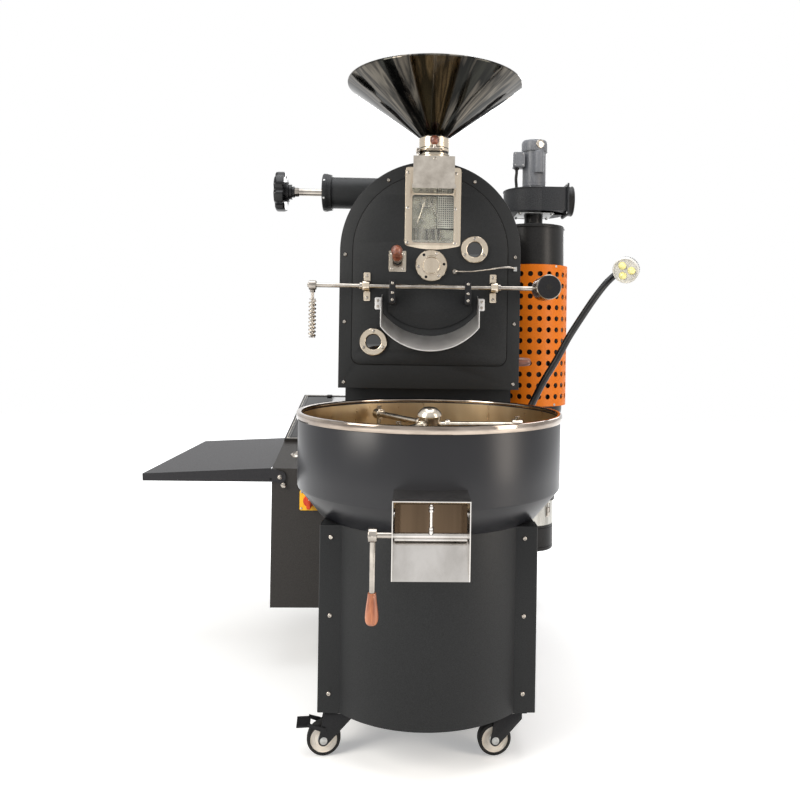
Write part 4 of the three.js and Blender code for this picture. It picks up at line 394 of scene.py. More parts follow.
def reflection_painted_cone(name, slot, centre):
    """Polished sheet round an upright axis, with a dark tone and streaks that run down its slope: painted
    reflections of its surroundings.
    """
    made = Finish(name, slot, (96, 94, 90), 0.08, 1.0)
    from_axis = made.node("ShaderNodeVectorMath", {0: made.coordinates, 1: centre}, operation="SUBTRACT")
    parts = made.node("ShaderNodeSeparateXYZ", {"Vector": from_axis.outputs["Vector"]}).outputs
    turn = made.math("ARCTAN2", parts["Y"], parts["X"])
    place = made.node("ShaderNodeCombineXYZ", {"X": turn, "Y": parts["Z"]}).outputs["Vector"]
    painted_reflections = made.node("ShaderNodeTexNoise", {"Scale": 3.2, "Detail": 5, "Vector": place}).outputs["Fac"]
    # Painted reflections: dark, warm and pale streaks in the colour stand for what the polished cone reflects.
    made.ramp(painted_reflections, [
        (0.3, (30, 30, 30)), (0.42, (54, 54, 50)), (0.5, (38, 38, 37)), (0.56, (100, 95, 87)),
        (0.6, (48, 47, 45)), (0.7, (116, 109, 99)),
    ])
    made.gloss(made.noise(60, 3), 0.05, 0.12)


def wooden(name, slot, dark, light, stretch):
    made = Finish(name, slot, light, 0.4)
    made.tone(made.noise(110, 5, stretch, 0.6), dark, light)
    made.bump(made.noise(300, 2, stretch), 0.15, 0.0003)
    made.give(Coat_Weight=0.35, Coat_Roughness=0.25)


def moulded(name, slot, low, high, rough, grain=700, strength=0.15):
    made = Finish(name, slot, high, rough)
    made.tone(made.noise(35, 2), low, high)
    made.gloss(made.noise(50, 2), rough - 0.06, rough + 0.06)
    made.bump(made.noise(grain, 1), strength, 0.0003)
    made.give(Specular_IOR_Level=0.3)


def make_metals_and_coats():
    for coat in (
        ("black_texture", "black_texture", (25, 26, 27), (37, 38, 39), 0.46),
        ("black_fine", "black_texture", (20, 20, 22), (30, 30, 32), 0.36, 700, 0.18),
        ("black_flat", "black_texture", (20, 20, 20), (32, 31, 30), 0.6),
        ("black_satin", "black_texture", (22, 21, 21), (34, 33, 32), 0.32, 500, 0.1),
        ("cabinet", "cabinet_paint", (46, 44, 42), (56, 53, 51), 0.42, 700, 0.4),
        ("shelf", "cabinet_paint", (34, 34, 37), (44, 43, 45), 0.44, 700, 0.12),
        ("console_dark", "cabinet_paint", (26, 24, 23), (38, 35, 33), 0.3, 500, 0.1),
        ("orange", "shield_orange", (216, 110, 16), (228, 122, 22), 0.42, 800, 0.15),
        ("motor_grey", "motor_paint", (104, 106, 110), (122, 124, 128), 0.3, 500, 0.12),
        ("dark_grey", "blower_paint", (40, 41, 43), (56, 57, 59), 0.5, 520, 0.35),
    ):
        powder_coat(*coat)
    for metal in (
        ("polished", "stainless", (168, 160, 149), (198, 190, 179), 0.12),
        ("satin", "stainless", (152, 143, 130), (172, 163, 149), 0.2, (1, 1, 0.04), 24),
        ("satin_face", "stainless", (184, 171, 153), (200, 188, 170), 0.24, (1, 1, 0.05), 24),
        ("satin_lip", "stainless", (190, 188, 186), (204, 202, 200), 0.44, (1, 0.1, 1), 12),
        ("mirror_inside", "stainless", (96, 92, 86), (196, 188, 176), 0.12, (1, 1, 0.05), 90),
        ("tray_steel", "tray_rim_steel", (176, 154, 122), (206, 186, 152), 0.3, (1, 1, 0.3), 6),
        ("rim_steel", "tray_rim_steel", (124, 113, 104), (176, 164, 152), 0.1, (1, 1, 6), 10),
        ("bright", "lever_steel", (142, 136, 129), (178, 171, 162), 0.14),
        ("spring_wire", "spring_steel", (146, 138, 128), (186, 178, 166), 0.18),
        ("zinc", "stirrer_steel", (150, 150, 148), (184, 184, 182), 0.32),
        ("satin_stirrer", "stirrer_steel", (170, 160, 146), (206, 198, 186), 0.22),
        ("outlet_steel", "stirrer_steel", (184, 180, 175), (204, 200, 196), 0.2, (1, 1, 0.05), 20),
        # Painted shade: the gate plate's steel is darkened to brown for the shade inside the outlet box.
        ("flap_painted_shade_steel", "stirrer_steel", (66, 54, 42), (90, 75, 60), 0.16, (1, 1, 0.05), 16),
        ("iron", "drum_iron", (46, 44, 42), (72, 68, 64), 0.5),
        ("bin_steel", "chaff_bin_steel", (150, 148, 142), (188, 186, 180), 0.28, (1, 1, 0.1), 50),
    ):
        polished(*metal)
    reflection_painted_cone("reflection_painted_cone", "stainless", HOPPER_THROAT)


def make_woods_and_plastics():
    wooden("light_wood", "light_wood", (140, 72, 38), (204, 128, 84), (1, 1, 0.1))
    wooden("dark_wood", "dark_wood", (78, 36, 24), (146, 84, 58), (1, 0.1, 1))
    wooden("dark_wood_x", "dark_wood", (78, 36, 24), (146, 84, 58), (0.1, 1, 1))
    for plastic in (
        ("black_plastic", "wheel_plastic", (16, 16, 17), (28, 28, 29), 0.34),
        ("glossy_black", "wheel_plastic", (10, 10, 11), (18, 18, 19), 0.16, 300, 0.03),
        ("rubber", "caster_wheel", (18, 18, 18), (34, 33, 32), 0.75),
        ("cable", "cable_black", (14, 14, 14), (26, 26, 26), 0.55),
        ("cream", "caster_wheel", (232, 221, 206), (246, 238, 226), 0.42),
        ("screen", "screen_glass", (8, 9, 10), (16, 17, 19), 0.1, 200, 0.02),
        ("yellow", "switch_plastic", (238, 176, 24), (250, 196, 40), 0.36),
        ("red", "switch_plastic", (190, 52, 20), (222, 78, 30), 0.34),
        ("pale_line", "cabinet_paint", (180, 176, 168), (206, 202, 194), 0.5),
        ("lamp_white", "motor_paint", (206, 204, 198), (228, 226, 220), 0.3),
        # Near-black painted shade, for the dark inside holes, vent openings and gaps.
        ("painted_shade_black", "black_texture", (5, 5, 5), (10, 10, 10), 0.8),
    ):
        moulded(*plastic)


def make_special_finishes():
    led = Finish("led_yellow", "motor_paint", (246, 236, 150), 0.2)
    led.tone(led.noise(420, 1), (226, 212, 110), (250, 246, 190))
    led.give(Emission_Color=shade(250, 240, 160), Emission_Strength=0.12)
    tray = Finish("tray_black", "black_texture", (26, 27, 31), 0.3)
    tray.tone(tray.noise(5, 3, (1, 1, 0.25)), (20, 21, 26), (32, 32, 35))
    tray.gloss(tray.noise(7, 3, (1, 1, 0.2)), 0.27, 0.36)
    tray.bump(tray.noise(420, 2), 0.12, 0.0003)
    tray.give(Specular_IOR_Level=0.35)
    screen = Finish("perforated", "perforated_steel", (150, 130, 98), 0.34, 0.9)
    holes = screen.dots(0.006, 0.3)
    # Painted shade: the holes are coloured near black for the shade seen through them, and the steel between
    # them keeps its own tone.
    screen.ramp(holes, [(0.0, (16, 13, 10)), (1.0, (186, 164, 128))])
    screen.bump(holes, 0.5, 0.0008)
    pane = Finish("window_pane", "glass", (236, 238, 236), 0.03)
    pane.gloss(pane.noise(20, 2), 0.0, 0.03)
    pane.give(Transmission_Weight=0.96, IOR=1.12)
    sight = Finish("sight_pane", "stainless", (24, 25, 27), 0.06)
    sight.gloss(sight.noise(20, 2), 0.03, 0.1)
    sight.give(Coat_Weight=0.8, Coat_Roughness=0.03)
    warm = Finish("warm_mirror", "stainless", (188, 180, 164), 0.12, 1.0)
    warm.tone(warm.noise(26, 3), (58, 54, 49), (186, 180, 166))
    warm.bump(warm.noise(12, 2), 0.5, 0.004)


def lend(name, finish, slot):
    """The same material in another of the record's slots."""
    FINISHES[name] = (FINISHES[finish][0], slot)


make_metals_and_coats()
make_woods_and_plastics()
make_special_finishes()
for lent in (
    ("bright_wood", "bright", "dark_wood"), ("bright_plastic", "bright", "wheel_plastic"),
    ("iron_plastic", "iron", "wheel_plastic"), ("bin_black", "black_satin", "chaff_bin_steel"),
    ("bright_bin", "bright", "chaff_bin_steel"), ("black_satin_dark", "black_satin", "blower_paint"),
    ("black_plastic_dark", "black_plastic", "blower_paint"), ("zinc_grey", "zinc", "motor_paint"),
    ("black_plastic_grey", "black_plastic", "motor_paint"), ("bright_cabinet", "bright", "cabinet_paint"),
    ("polished_grey", "polished", "motor_paint"), ("painted_shade_black_steel", "painted_shade_black", "stainless"),
    ("pale_line_steel", "pale_line", "stainless"), ("zinc_dark", "zinc", "blower_paint"),
    ("yellow_cabinet", "yellow", "cabinet_paint"), ("pale_switch", "pale_line", "switch_plastic"),
    ("painted_shade_black_cabinet", "painted_shade_black", "cabinet_paint"),
):
    lend(*lent)


# Fastenings

def screw(x, y, z, axis, radius, height):
    """A domed head with a round socket, standing on its seat."""
    profile = [
        (0, height * 0.35), (radius * 0.42, height * 0.35), (radius * 0.42, height), (radius * 0.62, height),
        (radius * 0.9, height * 0.68), (radius, height * 0.25), (radius, 0),
    ]
    return lathe(profile, (x, y, z), axis, 20)


def screws(name, seat, axis, spots, radius, height, finish="bright", body="machine"):
    """Like screws on a flat seat across the axis. Each spot has the two measures that the seat leaves open."""
    def place(a, b):
        return (seat, a, b) if axis.x else (a, seat, b) if axis.y else (a, b, seat)
    add(name, joined(*[screw(*place(a, b), axis, radius, height) for a, b in spots]), finish, body)


def grid(firsts, seconds):
    return [(a, b) for a in firsts for b in seconds]


def hex_nut(x, y, z, axis, radius, height):
    profile = [(radius * 0.45, height), (radius * 0.86, height), (radius, height * 0.8), (radius, 0)]
    return lathe(profile, (x, y, z), axis, 6)


def washer(x, y, z, axis, radius, height):
    profile = [(0, height), (radius * 0.92, height), (radius, height * 0.5), (radius, 0)]
    return lathe(profile, (x, y, z), axis, 28)


# Casters

SIDES = (("left", -1), ("right", 1))
CASTER_TURN = 6
CASTER_X, CASTER_FRONT_Y, CASTER_REAR_Y, CASTER_TRAIL = 191, -143, 780, 38
WHEEL_R = 37.5
# Half of each part's profile, to be mirrored about the wheel's middle.
WHEEL_PARTS = (
    ("tyre", "rubber", 96, [(29.5, -11.6), (33.6, -12), (36.0, -10.8), (37.2, -8), (37.5, -5)]),
    ("disc", "cream", 72, [
        (12, -8), (17.4, -7.4), (18, -6.4), (20.4, -6.4), (21, -7.4), (28.4, -7.8), (29.6, -10.4), (30.4, -11),
    ]),
    ("hub", "zinc", 40, [(5, -14), (9.6, -14), (10.6, -13), (12.9, -12.2)]),
)


def add_wheel(place, x, y, axis, body):
    for part, finish, sides, half in WHEEL_PARTS:
        profile = [*half, *[(radius, -along) for radius, along in reversed(half)]]
        add(f"{part}_{place}", ring(profile, (x, y, WHEEL_R), axis, sides), finish, body,
            [f"wheel_{place}"] if part == "tyre" else [])


def fork(crown_z, x, y, turn):
    """Two cheeks with rounded lugs, and a pressed crown, placed with its swivel line at x, y."""
    trail = -CASTER_TRAIL
    lug = arc(trail, WHEEL_R, 12, 180, 306, 14)
    outline = [(trail - 12, WHEEL_R), *lug, (22, crown_z - 14), (22, crown_z), (trail, crown_z)]
    cheeks = [plate(outline, "XZ", a, b) for a, b in ((-18.5, -15.5), (15.5, 18.5))]
    crown = plate(rounded(trail, 22, -18.5, 18.5, 6), "XY", crown_z - 3.3, crown_z, 0.8)
    return moved(turned(joined(*cheeks, crown), Z, turn), x, y)


def axle(x, y, axis):
    """A bolt through the fork, with a hex head on one side and a lock nut on the other."""
    middle, half = Vector((x, y, WHEEL_R)), 18.4
    pieces = [rod(4.6, middle - axis * half, axis, 2 * half, 20)]
    for out in (-axis, axis):
        end = middle + out * half
        pieces += [washer(*end, out, 8.4, 0.8), hex_nut(*(end + out * 0.8), out, 7, 3.2)]
        pieces.append(rod(3.4, end, out, 3.0, 16))
    return joined(*pieces)


def make_casters():
    turn = math.radians(CASTER_TURN)
    along = Vector((-math.sin(turn), math.cos(turn), 0))
    for word, side in SIDES:
        x = side * CASTER_X
        wheel_x, wheel_y = x - CASTER_TRAIL * math.cos(turn), CASTER_FRONT_Y - CASTER_TRAIL * math.sin(turn)
        swivel = f"front_caster_{word}"
        add(f"fork_{word}", fork(97.7, x, CASTER_FRONT_Y, CASTER_TURN), "black_fine", swivel,
            [f"caster_fork_{word}"], edge=0.4)
        add(f"fork_axle_{word}", axle(wheel_x, wheel_y, along), "zinc", swivel)
        add_wheel(f"front_{word}", wheel_x, wheel_y, along, f"front_wheel_{word}")
        race = lathe([(0, -1.0), (15, -1.0), (16, -0.4), (22.6, 0.2), (23.9, 1.6), (23.9, 6), (0, 6)],
                     (x, CASTER_FRONT_Y, 98), Z, 64)
        add(f"swivel_race_{word}", race, "zinc")
        add(f"bracket_{word}", fork(104, x, CASTER_REAR_Y + CASTER_TRAIL, 90), "black_fine", "machine",
            [f"caster_bracket_{word}"], edge=0.4)
        pad = rounded(x - 32, x + 32, CASTER_REAR_Y - 32, CASTER_REAR_Y + 32, 5)
        add(f"bracket_plate_{word}", plate(pad, "XY", 104, 107), "black_fine")
        add(f"bracket_axle_{word}", axle(x, CASTER_REAR_Y, X), "zinc")
        add_wheel(f"rear_{word}", x, CASTER_REAR_Y, X, f"rear_wheel_{word}")
    spots = [(side * CASTER_X + dx, y + dy) for side in (-1, 1) for y in (CASTER_FRONT_Y, CASTER_REAR_Y)
             for dx, dy in grid((-24, 24), (-24, 24))]
    screws("caster_screws", 104, -Z, spots, 4.6, 2.6, "zinc")
    dress("brake_pedal", "black_fine", 0.8)


# Base frame and its curved front cover

COVER_R, COVER_Y, COVER_HALF, COVER_RETURN = 262, -178, 241, 46
BASE_HALF, BASE_LOW, BASE_TOP = 238, 107, 520
SHEET = 3


def cover_outline(bend):
    """The curved sheet with its two returns, seen from above."""
    inner, inner_y, rear_y = COVER_R - SHEET, COVER_Y + SHEET, COVER_Y + COVER_RETURN
    start = math.degrees(math.asin(-COVER_Y / COVER_R))
    inner_start = math.degrees(math.asin(-inner_y / inner))
    wall = BASE_HALF + 0.3
    return [
        (-COVER_HALF, rear_y), *arc(-COVER_HALF + bend, COVER_Y + bend, bend, 180, 270, 5),
        *arc(0, 0, COVER_R, 180 + start, 360 - start, 72),
        *arc(COVER_HALF - bend, COVER_Y + bend, bend, 270, 360, 5), (COVER_HALF, rear_y), (wall, rear_y),
        (wall, inner_y), *arc(0, 0, inner, 360 - inner_start, 180 + inner_start, 72), (-wall, inner_y),
        (-wall, rear_y),
    ]


def make_base():
    dress("base_frame", "black_texture", 1.2)
    cover = plate(cover_outline(3), "XY", BASE_LOW, BASE_TOP, 0.7)
    add("front_cover_sheet", cover, "black_texture", "machine", ["front_cover"], angle=40)
    screws("cover_screws", COVER_Y, -Y, [(x, z) for z in (493.5, 321, 149) for x in (-216, 212)], 5.2, 2.8)
    # On the left, the cabinet hides the rear ones.
    heads = [screw(side * BASE_HALF, y, z, X * side, 4.6, 2.4)
             for side, ys in ((-1, (-120, 200)), (1, (-120, 200, 560, 800))) for y, z in grid(ys, (150, 470))]
    add("side_screws", joined(*heads), "zinc")
    dress("cooling_blower", "dark_grey", 1.5)
    dress("tray_gearmotor", "motor_grey", 1.5)
    # Painted shade: dark slats stand for the shade inside the rear vent openings.
    slats = [box(-120 + 30 * i, -102 + 30 * i, 839.4, 840.6, 230, 330) for i in range(9)]
    add("rear_vent_painted_shade", joined(*slats), "painted_shade_black")


make_casters()
make_base()


# Cooling tray, stirrer and outlet

TRAY_R, TRAY_INNER = 316, 313
LINER_OUTER, LINER_INNER = 312.8, 312.2
MOUTH_HALF, MOUTH_LOW, MOUTH_TOP = 68, 587, 619


def with_mouth(shell):
    """Leaves the outlet's mouth out of a round wall, and closes the cut through the wall's thickness."""
    points, faces = shell
    outer = max(math.hypot(x, y) for x, y, z in points if abs(z - MOUTH_TOP) < 0.1)
    kept, edges = [], {}
    for face in faces:
        middle = sum((Vector(points[i]) for i in face), Vector()) / len(face)
        in_front = abs(middle.x) < MOUTH_HALF and middle.y < 0
        if not (in_front and MOUTH_LOW < middle.z < MOUTH_TOP):
            kept.append(face)
            continue
        for pair in zip(face, (*face[1:], face[0])):
            edge = tuple(sorted(pair))
            edges[edge] = edges.get(edge, 0) + 1
    rim = [edge for edge, times in edges.items() if times == 1]

    def place(i):
        x, y, z = points[i]
        return round(math.degrees(math.atan2(y, x)), 2), round(z, 2)

    def is_outer(i):
        return abs(math.hypot(*points[i][:2]) - outer) < 0.1

    inner_at = {place(i): i for edge in rim for i in edge if not is_outer(i)}
    for a, b in rim:
        if is_outer(a) and is_outer(b):
            kept.append((a, b, inner_at[place(b)], inner_at[place(a)]))
    return points, kept


def make_tray():
    shell = ring([
        (24, 520), (262.8, 520), (264.6, 520.8), (315.2, 582.9), (TRAY_R, 585), (TRAY_R, MOUTH_LOW),
        (TRAY_R, MOUTH_TOP), (TRAY_R, 746), (315, 748), (314, 748), (TRAY_INNER, 746), (TRAY_INNER, MOUTH_TOP),
        (TRAY_INNER, MOUTH_LOW), (297, 584), (297, 581), (262.8, 523), (24, 523),
    ], sides=160)
    add("tray_wall", with_mouth(shell), "tray_black", "machine", ["tray_shell"], angle=30)
    heights = (MOUTH_LOW, MOUTH_TOP, 745)
    liner = ring([
        *[(LINER_OUTER, z) for z in heights], *[(LINER_INNER, z) for z in reversed(heights)],
    ], sides=160)
    add("tray_liner", with_mouth(liner), "tray_steel", angle=30)
    rim = ring([
        (316.3, 740), (319.2, 740), (320, 741.2), (320, 754.2), (319.2, 756.2), (317.2, 757), (311, 757),
        (309, 756.2), (308, 754.4), (308, 749.6), (308.8, 748.6), (316.3, 748.6),
    ], sides=192)
    add("tray_rim_band", rim, "rim_steel", "machine", ["tray_rim"], angle=40)
    floor = ring([(24, 584), (312, 584), (312, 587), (24, 587)], sides=128)
    add("tray_screen", floor, "perforated", "machine", ["tray_floor"])


STIR_Z, ARM_R, BLADE_Z = 722, 8, 621
ARMS = [(150, -119), (215, 1), (262, 121)]


def make_stirrer():
    hub = lathe([
        (0, 425), (15, 425), (15, 705), (25.5, 705), (27, 706.5), (27, 738), (28.8, 739), (30, 741),
        (29.6, 745), (27.7, 750.4), (24, 756), (18.5, 761), (12, 764), (6, 765), (0, 765),
    ], sides=64)
    pieces = [hub]
    for reach, degrees in ARMS:
        blade = joined(plate(rounded(-48, 48, 592, 650, 4), "XZ", -2, 2), box(-7, 7, -2, 8, 614, 646))
        arm = joined(
            rod(ARM_R, (20, 0, STIR_Z), X, reach - 6, 24),
            ring(bevelled(8, 14, -13, 13), (reach, 0, STIR_Z), X, 32),
            rod(6, (reach, 0, BLADE_Z), Z, STIR_Z - BLADE_Z + 22, 24),
            moved(turned(blade, Z, 35), reach),
            hex_nut(reach, 0, STIR_Z + 14, Z, 6.5, 5), hex_nut(44, 0, STIR_Z + ARM_R - 1, Z, 6.5, 5),
            ring([(8, -6), (12, -6), (12.6, -5), (12.6, 5), (12, 6), (8, 6)], (44, 0, STIR_Z), X, 28),
        )
        pieces.append(turned(arm, Z, degrees))
    add("stirrer_assembly", joined(*pieces), "satin_stirrer", "stirrer", ["stirrer"], edge=0.3)


OUT_HALF = 75
GATE_Y, GATE_Z = -380, 553
LEVER_X, LEVER_HUB, GRIP_TOP = -112.5, 17, 441.4


def make_outlet():
    dress("outlet_box", "outlet_steel", 0.5)
    shaft = lathe([(0, -75), (5.2, -75), (6, -74), (6, 74), (5.2, 75), (0, 75)], (0, GATE_Y, GATE_Z), X, 32)
    flap = plate(rounded(-70.5, 70.5, GATE_Z + 1, 615, 2.5), "XZ", GATE_Y - 1, GATE_Y + 1, 0.4)
    curl = rod(3.4, (-70.5, GATE_Y - 0.4, 545.5), X, 141, 20)
    link = rod(3, (0, -382.5, GATE_Z), Z, 61, 20)
    nuts = [hex_nut(0, -382.5, z, Z, 6, 5) for z in (559, 565, 600, 606)]
    # The gate plate's dark brown steel is painted shade from inside the outlet box.
    add("gate_plate", flap, "flap_painted_shade_steel", "tray_gate", ["gate_flap"], edge=0.3)
    add("gate_shaft_and_link", joined(shaft, link, *nuts), "outlet_steel", "tray_gate", edge=0.3)
    add("gate_lower_edge", curl, "outlet_steel", "tray_gate")
    start = LEVER_X - LEVER_HUB / 2
    lever = joined(
        ring(bevelled(6.3, 14, 0, LEVER_HUB), (start, GATE_Y, GATE_Z), X, 40),
        rod(5.5, (LEVER_X, GATE_Y, GRIP_TOP + 0.3), Z, GATE_Z - GRIP_TOP - 13, 28),
        rod(6, (start - 1, GATE_Y, GATE_Z), X, -OUT_HALF - start + 1, 28),
        rod(2.4, (LEVER_X, GATE_Y - 14.6, GATE_Z), Y, 4, 12),
    )
    add("gate_lever_bar", lever, "bright", "tray_gate", ["gate_lever"], edge=0.3)
    grip = lathe([(radius, GRIP_TOP - drop) for radius, drop in (
        (0, 63), (4, 62.9), (7.8, 61.6), (10.6, 58.6), (12.3, 54.4), (13, 49), (12.9, 42), (12.3, 35.6),
        (11.2, 26.6), (10, 17.8), (8.9, 9.8), (8.2, 4.4), (8, 1.8), (7.4, 0), (0, 0),
    )], (LEVER_X, GATE_Y, 0), Z, 48)
    add("gate_grip", grip, "light_wood", "tray_gate", ["lever_grip"])


make_tray()
make_stirrer()
make_outlet()


# Roasting unit: face plate, housing, drum and the fittings on the face

FACE_Y, FACE_BACK, PANEL_Y, FACE_HALF, ARCH_Z = 259, 279, 255, 252, 1171
UNIT_LOW = 789
HOUSING_HALF, HOUSING_REAR = 234, 800
AXIS_X, AXIS_Z = 2.5, 1132.5
DOOR_SHAFT_Y, DOOR_SHAFT_Z = 217, 1070.7
SAMPLER_X, SAMPLER_Z, SAMPLER_TILT = -91.5, 1143, -15


def arch(half, low):
    return [(-half, low), (half, low), *arc(0, ARCH_Z, half, 0, 180, 96)]


def panel_outline():
    half, low, corner = 215, 856, 26
    return [
        *arc(-half + corner, low + corner, corner, 180, 270, 8),
        *arc(half - corner, low + corner, corner, 270, 360, 8), *arc(0, ARCH_Z, half, 0, 180, 64),
    ]


def scoop(half, top, side, low, steps=28):
    """A rectangle's upper part with a round bottom."""
    drop = side - low
    radius = (half * half + drop * drop) / (2 * drop)
    sweep = math.degrees(math.asin(half / radius))
    return [*arc(0, low + radius, radius, 270 - sweep, 270 + sweep, steps), (half, top), (-half, top)]


SIGHTS = [(122, 1178.6), (-155, 918)]
FACE_HOLES = [
    scoop(105, 1048, 1004, 968), rounded(-53, 63, 1196, 1329, 8), rectangle(-40, 50, 1340, 1396),
    *[circle(x, z, 18) for x, z in SIGHTS],
]


def make_face():
    back = plate(arch(FACE_HALF, UNIT_LOW), "XZ", FACE_Y, FACE_BACK, 1.2, holes=FACE_HOLES)
    add("face_back_plate", back, "black_texture", "machine", ["face_plate"], angle=30)
    outline = panel_outline()
    panel = plate(outline, "XZ", PANEL_Y, FACE_Y + 1.5, 1.2, holes=FACE_HOLES)
    add("face_front_panel", panel, "black_texture", angle=30)
    # Painted shade round the panel: a dark line, as a slightly wider outline on the plate behind it, where the
    # raised panel's edge shades the plate.
    middle_x = sum(x for x, z in outline) / len(outline)
    middle_z = (min(z for x, z in outline) + max(z for x, z in outline)) / 2
    wider = [(middle_x + (x - middle_x) * 1.013, middle_z + (z - middle_z) * 1.011) for x, z in outline]
    add("face_panel_painted_shade", plate(wider, "XZ", FACE_Y - 0.3, FACE_Y + 0.3, 0, holes=[outline]), "painted_shade_black")
    screws("face_screws", FACE_Y, -Y, [
        (-119.5, 1369), (121, 1368.5), (-237, 1160), (237, 1160), (-236.5, 973), (236.5, 973), (-236.5, 805),
        (235.5, 805),
    ], 5.4, 3.4)
    hole = circle(SAMPLER_X, SAMPLER_Z, 11.5, 28)
    guard = plate(rounded(-115.5, -67.5, 1114, 1172, 3), "XZ", 253, PANEL_Y + 0.5, 0.4, holes=[hole])
    add("sampler_guard", guard, "satin")
    screws("sampler_guard_screws", 253, -Y, [(x, z) for z in (1163, 1122) for x in (-107.5, -75.5)], 3.4, 1.8)


def make_housing():
    outer, inner = arch(HOUSING_HALF, UNIT_LOW), arch(HOUSING_HALF - 18, UNIT_LOW + 18)
    cover_y = HOUSING_REAR - 18
    add("housing_shell", plate(outer, "XZ", FACE_BACK, cover_y, 0.8, holes=[inner]), "black_texture", "machine",
        ["drum_housing"], angle=30)
    cover = plate(outer, "XZ", cover_y, HOUSING_REAR, 1.0, holes=[circle(AXIS_X, AXIS_Z, 16, 28)])
    add("housing_rear_cover", cover, "black_texture", angle=30)
    radius, low = HOUSING_HALF - 14, UNIT_LOW + 16
    screws("rear_cover_screws", HOUSING_REAR, Y, [
        *around(0, ARCH_Z, radius, range(0, 181, 30)), *grid((-radius, radius), (low, 935, 1060)), (-80, low),
        (80, low),
    ], 5, 3, "zinc")
    strip = [box(s * HOUSING_HALF - 1.2, s * HOUSING_HALF + 1.2, 284, 796, 797, 815) for s in (-1, 1)]
    add("housing_foot_strips", joined(*strip), "black_fine", edge=0.5)
    feet = [screw(s * (HOUSING_HALF + 1.2), y, 806, X * s, 4.6, 2.6)
            for s, y in grid((-1, 1), (310, 430, 550, 670, 780))]
    add("housing_foot_screws", joined(*feet), "zinc")


def make_drum():
    front, rear, radius = 287, 757, 195
    shell = ring([
        (16, rear), (radius - 1, rear), (radius, rear - 1), (radius, front + 1), (radius - 1, front),
        (radius - 5, front), (radius - 5, rear - 5), (16, rear - 5),
    ], (AXIS_X, 0, AXIS_Z), Y, 128)
    parts = [shell, lathe(bevelled(0, 15, 252.6, 830), (AXIS_X, 0, AXIS_Z), Y, 40)]
    for i in range(4):
        vane = box(-2, 2, front + 1, rear - 3, radius - 41, radius - 3)
        spoke = box(-4, 4, 522, 540, 10, radius - 3)
        parts.append(moved(turned(joined(vane, spoke), Y, 90 * i), AXIS_X, 0, AXIS_Z))
    add("drum_assembly", joined(*parts), "iron", "drum", ["drum"])
    dress("drum_gearmotor", "motor_grey", 1.5)
    fins = [ring([(57, 0), (60.5, 0), (60.5, 2.4), (57, 2.4)], (AXIS_X, 905 + 9 * i, AXIS_Z), Y, 56)
            for i in range(10)]
    add("drum_motor_fins", joined(*fins), "motor_grey")
    dress("burner", "iron", 0.6)


def on_panel(profile, x, z, sides=72, closed=False):
    """A round fitting on the face, its profile measured from the panel's surface."""
    return lathe(profile, (x, PANEL_Y, z), Y, sides, closed)


def make_bearing_cover():
    flange = on_panel([(27.3, -9), (41.8, -9), (43.5, -7.4), (43.5, 0), (27.3, 0)], AXIS_X, AXIS_Z, closed=True)
    boss = on_panel([
        (0, -10.4), (21.5, -10.4), (22.8, -11.4), (23.4, -13), (26.2, -13), (27.3, -12), (27.3, -8), (0, -8),
    ], AXIS_X, AXIS_Z)
    add("bearing_flange", joined(flange, boss), "satin_face", "machine", ["bearing_cover"], angle=28)
    ring = 35.4
    screws("bearing_screws", 246, -Y, around(AXIS_X, AXIS_Z, ring, (66, 186, 306)), 4.6, 2.6)
    # Painted shade: dark discs stand for the shade inside the flange's three open holes.
    holes = [rod(4.0, (x, 245.8, z), Y, 1.2, 24) for x, z in around(AXIS_X, AXIS_Z, ring, (6, 126, 246))]
    add("bearing_hole_painted_shade", joined(*holes), "painted_shade_black")


def make_sights():
    for (x, z), word in zip(SIGHTS, ("upper", "lower")):
        ring = on_panel([(22, -8.4), (23, -9), (35.6, -9), (37.4, -7.4), (37.4, 0), (22, 0)], x, z, closed=True)
        add(f"sight_ring_{word}", ring, "satin_face", "machine", [f"sight_glass_{word}"], angle=28)
        pane = on_panel([(0, -4.6), (21.2, -4.6), (22, -4.2), (22, -1), (0, -1)], x, z, 56)
        add(f"sight_pane_{word}", pane, "sight_pane")
        screws(f"sight_screws_{word}", 246, -Y, around(x, z, 30, (90, 210, 330)), 4.4, 2.6)


SHEATH = [
    (68, 247, 1116.6), (69, 239, 1116.6), (82, 234, 1116), (110, 233, 1116), (150, 234, 1121), (194, 236, 1128),
    (217, 237, 1129.7), (229, 240, 1128), (235, 248, 1126.5), (236, 260, 1126), (236, 274, 1126),
]


def make_probe():
    nut = joined(
        hex_nut(68, 255, 1116.6, -Y, 8.4, 6), hex_nut(68, 249.6, 1116.6, -Y, 6.8, 6.4),
        rod(3, (68, 243, 1116.6), Y, 14, 20),
    )
    add("probe_fitting", nut, "bright", "machine", ["thermocouple"])
    add("probe_cable", tube(smooth_run(SHEATH, 10), 2.3, 14), "spring_wire")
    add("probe_sleeve", tube(smooth_run(SHEATH[5:8]), 3.1, 14), "bright")
    clip = joined(box(232, 241, 249, 254, 1120, 1132), screw(236.5, 249, 1129, -Y, 3.0, 1.6))
    add("probe_clip", clip, "zinc", edge=0.4)


